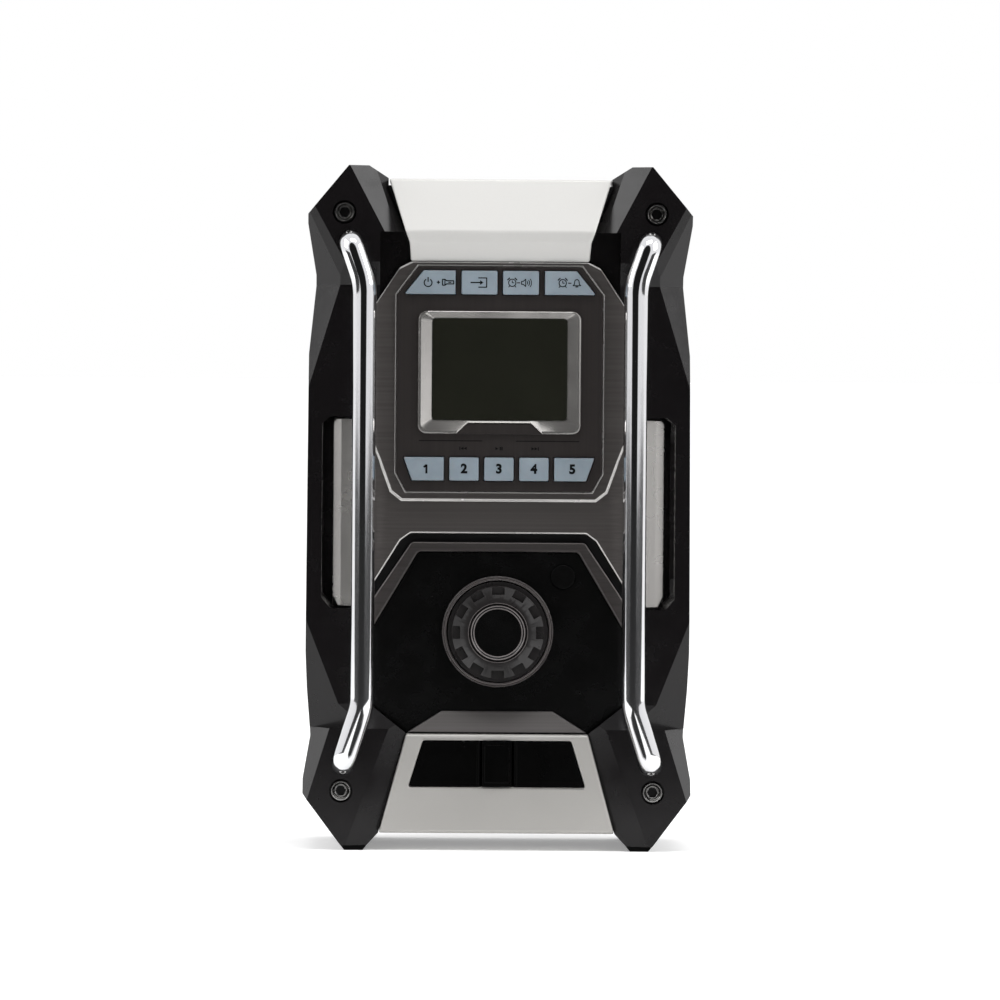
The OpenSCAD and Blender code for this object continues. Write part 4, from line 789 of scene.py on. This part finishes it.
def mark(name, body, material, draw, y):
    """Printed marks drawn in millimetres, a hair proud of the surface at depth y."""
    bm = bmesh.new()

    def line(points, width=0.28):
        ribbon(bm, [(x * MM, z * MM) for x, z in points], width * INK_SPREAD * MM, y - INK, y + INK)

    def fill(points):
        prism(bm, [(x * MM, z * MM) for x, z in points], y - INK, y + INK)

    draw(line, fill)
    return piece(name, finish_mesh(bm, name), body, "dark_plastic", material)


def clock(line, x, z):
    """An alarm clock: a round face with hands, two bells and two feet."""
    line(arc(x, z, 1.5, 0, 360))
    line([(x, z + 0.9), (x, z), (x + 0.7, z)], 0.24)
    for s in (-1, 1):
        line([(x + s * 1.95, z + 1.15), (x + s * 1.05, z + 2.0)], 0.36)
        line([(x + s * 1.1, z - 1.3), (x + s * 1.5, z - 1.8)], 0.26)


def power_mark(line, fill):
    """A power sign, a plus sign and a torch."""
    x, z = -29.6, 0
    line(arc(x, z - 0.2, 1.6, 125, 415), 0.34)
    line([(x, z + 2.0), (x, z + 0.2)], 0.34)
    line([(x + 3.6, z), (x + 4.8, z)], 0.34)
    line([(x + 4.2, z - 0.6), (x + 4.2, z + 0.6)], 0.34)
    # Torch: a flared head and a barrel
    t = x + 5.9
    line([(t, z - 1.2), (t, z + 1.2), (t + 1.0, z + 1.2), (t + 1.7, z + 0.65), (t + 4.6, z + 0.65),
        (t + 4.6, z - 0.65), (t + 1.7, z - 0.65), (t + 1.0, z - 1.2), (t, z - 1.2)], 0.34)
    line([(t + 1.0, z + 1.2), (t + 1.0, z - 1.2)], 0.3)
    fill([(t + 2.4, z - 0.2), (t + 3.6, z - 0.2), (t + 3.6, z + 0.2), (t + 2.4, z + 0.2)])


def source_mark(line, fill):
    """A generic input sign: an arrow into an open frame."""
    x = -(14.65 + 2.35) / 2
    line([(x - 0.4, 1.9), (x + 2.9, 1.9), (x + 2.9, -1.9), (x - 0.4, -1.9)], 0.34)
    line([(x - 3.6, 0), (x + 0.4, 0)], 0.4)
    fill([(x + 0.2, -1.0), (x + 1.6, 0), (x + 0.2, 1.0)])


def sound_mark(line, _fill):
    """An alarm clock and a loudspeaker with its waves."""
    c = (14.65 + 2.35) / 2
    clock(line, c - 3.6, 0)
    line([(c - 1.6, 0), (c - 0.4, 0)], 0.3)
    line([(c + 0.2, -0.6), (c + 0.9, -0.6), (c + 1.9, -1.5), (c + 1.9, 1.5), (c + 0.9, 0.6),
        (c + 0.2, 0.6), (c + 0.2, -0.6)], 0.28)
    for r in (1.0, 1.8, 2.6):
        line(arc(c + 1.7, 0, r, -38, 38, 8), 0.24)


def bell_mark(line, _fill):
    """An alarm clock and a bell."""
    c = 32.6 - 6.4
    clock(line, c - 0.6, 0)
    line([(c + 1.7, 0), (c + 2.9, 0)], 0.3)
    b = c + 5.2
    line([(b - 1.6, -1.0), (b - 1.0, -0.4), (b - 0.9, 0.6)] + arc(b, 0.6, 0.9, 180, 0, 10)
        + [(b + 1.0, -0.4), (b + 1.6, -1.0), (b - 1.6, -1.0)], 0.28)
    line([(b - 0.5, -1.5), (b + 0.5, -1.5)], 0.34)


def panel_marks(line, fill):
    """A broken line over the preset keys, and the track signs under it."""
    z = MARK_Z / MM
    for s in (-1, 1):
        line([(s * 7.0, z + 3.1), (s * 32.8, z + 3.1)], 0.22)
    for c, s in ((-14.5, -1), (14.5, 1)):
        for k in (-0.6, 0.7):
            base, tip = c + s * (k - 0.6), c + s * (k + 0.6)
            fill([(base, z - 0.6), (tip, z), (base, z + 0.6)][::s])
        line([(c + s * 1.6, z - 0.6), (c + s * 1.6, z + 0.6)], 0.26)
    fill([(-1.5, z - 0.6), (-0.3, z), (-1.5, z + 0.6)])
    for k in (0.5, 1.2):
        line([(k, z - 0.6), (k, z + 0.6)], 0.34)


def digit(i):
    """A plain bold number on a preset key."""
    node = f"preset_key_{i}"
    lo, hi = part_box(node)
    x = OUTER_DIGIT_X.get(i, (lo.x + hi.x) / 2 / MM)
    if i == 1:
        z = PRESET_Z / MM
        one = [(x - 0.95, z + 0.75), (x + 0.05, z + 1.55), (x + 0.05, z - 1.75)]
        mark("digit_1_mark", node, EXTRA["print_and_shade"], lambda line, fill: line(one, 0.62), KEY_Y)
        return
    curve = bpy.data.curves.new(f"digit_{i}", "FONT")
    curve.body = str(i)
    curve.size = 5.2 * MM
    curve.offset = 0.24 * MM
    curve.extrude = INK
    curve.align_x, curve.align_y = "CENTER", "CENTER"
    holder = bpy.data.objects.new(f"digit_{i}", curve)
    scene.collection.objects.link(holder)
    bpy.context.view_layer.update()
    mesh = bpy.data.meshes.new_from_object(holder.evaluated_get(bpy.context.evaluated_depsgraph_get()))
    bpy.data.objects.remove(holder)
    mesh.transform(Matrix.Translation((x * MM, KEY_Y, PRESET_Z)) @ Matrix.Rotation(math.pi / 2, 4, "X"))
    piece(f"digit_{i}_mark", mesh, node, "dark_plastic", EXTRA["print_and_shade"])


def marks():
    """All printed marks on the keys and the display panel."""
    for name, node, draw in (("power_mark", "power_key", power_mark),
            ("source_mark", "source_key", source_mark),
            ("sound_mark", "alarm_sound_key", sound_mark),
            ("bell_mark", "alarm_bell_key", bell_mark)):
        obj = mark(name, node, EXTRA["print_and_shade"], draw, KEY_Y)
        obj.data.transform(Matrix.Translation((0, 0, KEY_Z)))
    mark("panel_marks", "radio", EXTRA["print_and_shade"], panel_marks, PANEL_Y - 0.03 * MM)
    for i in range(1, 6):
        digit(i)


dress_nodes()
camera()
world()
lights()
floor()
shells()
keys()
knob()
bars()
bezel()
marks()
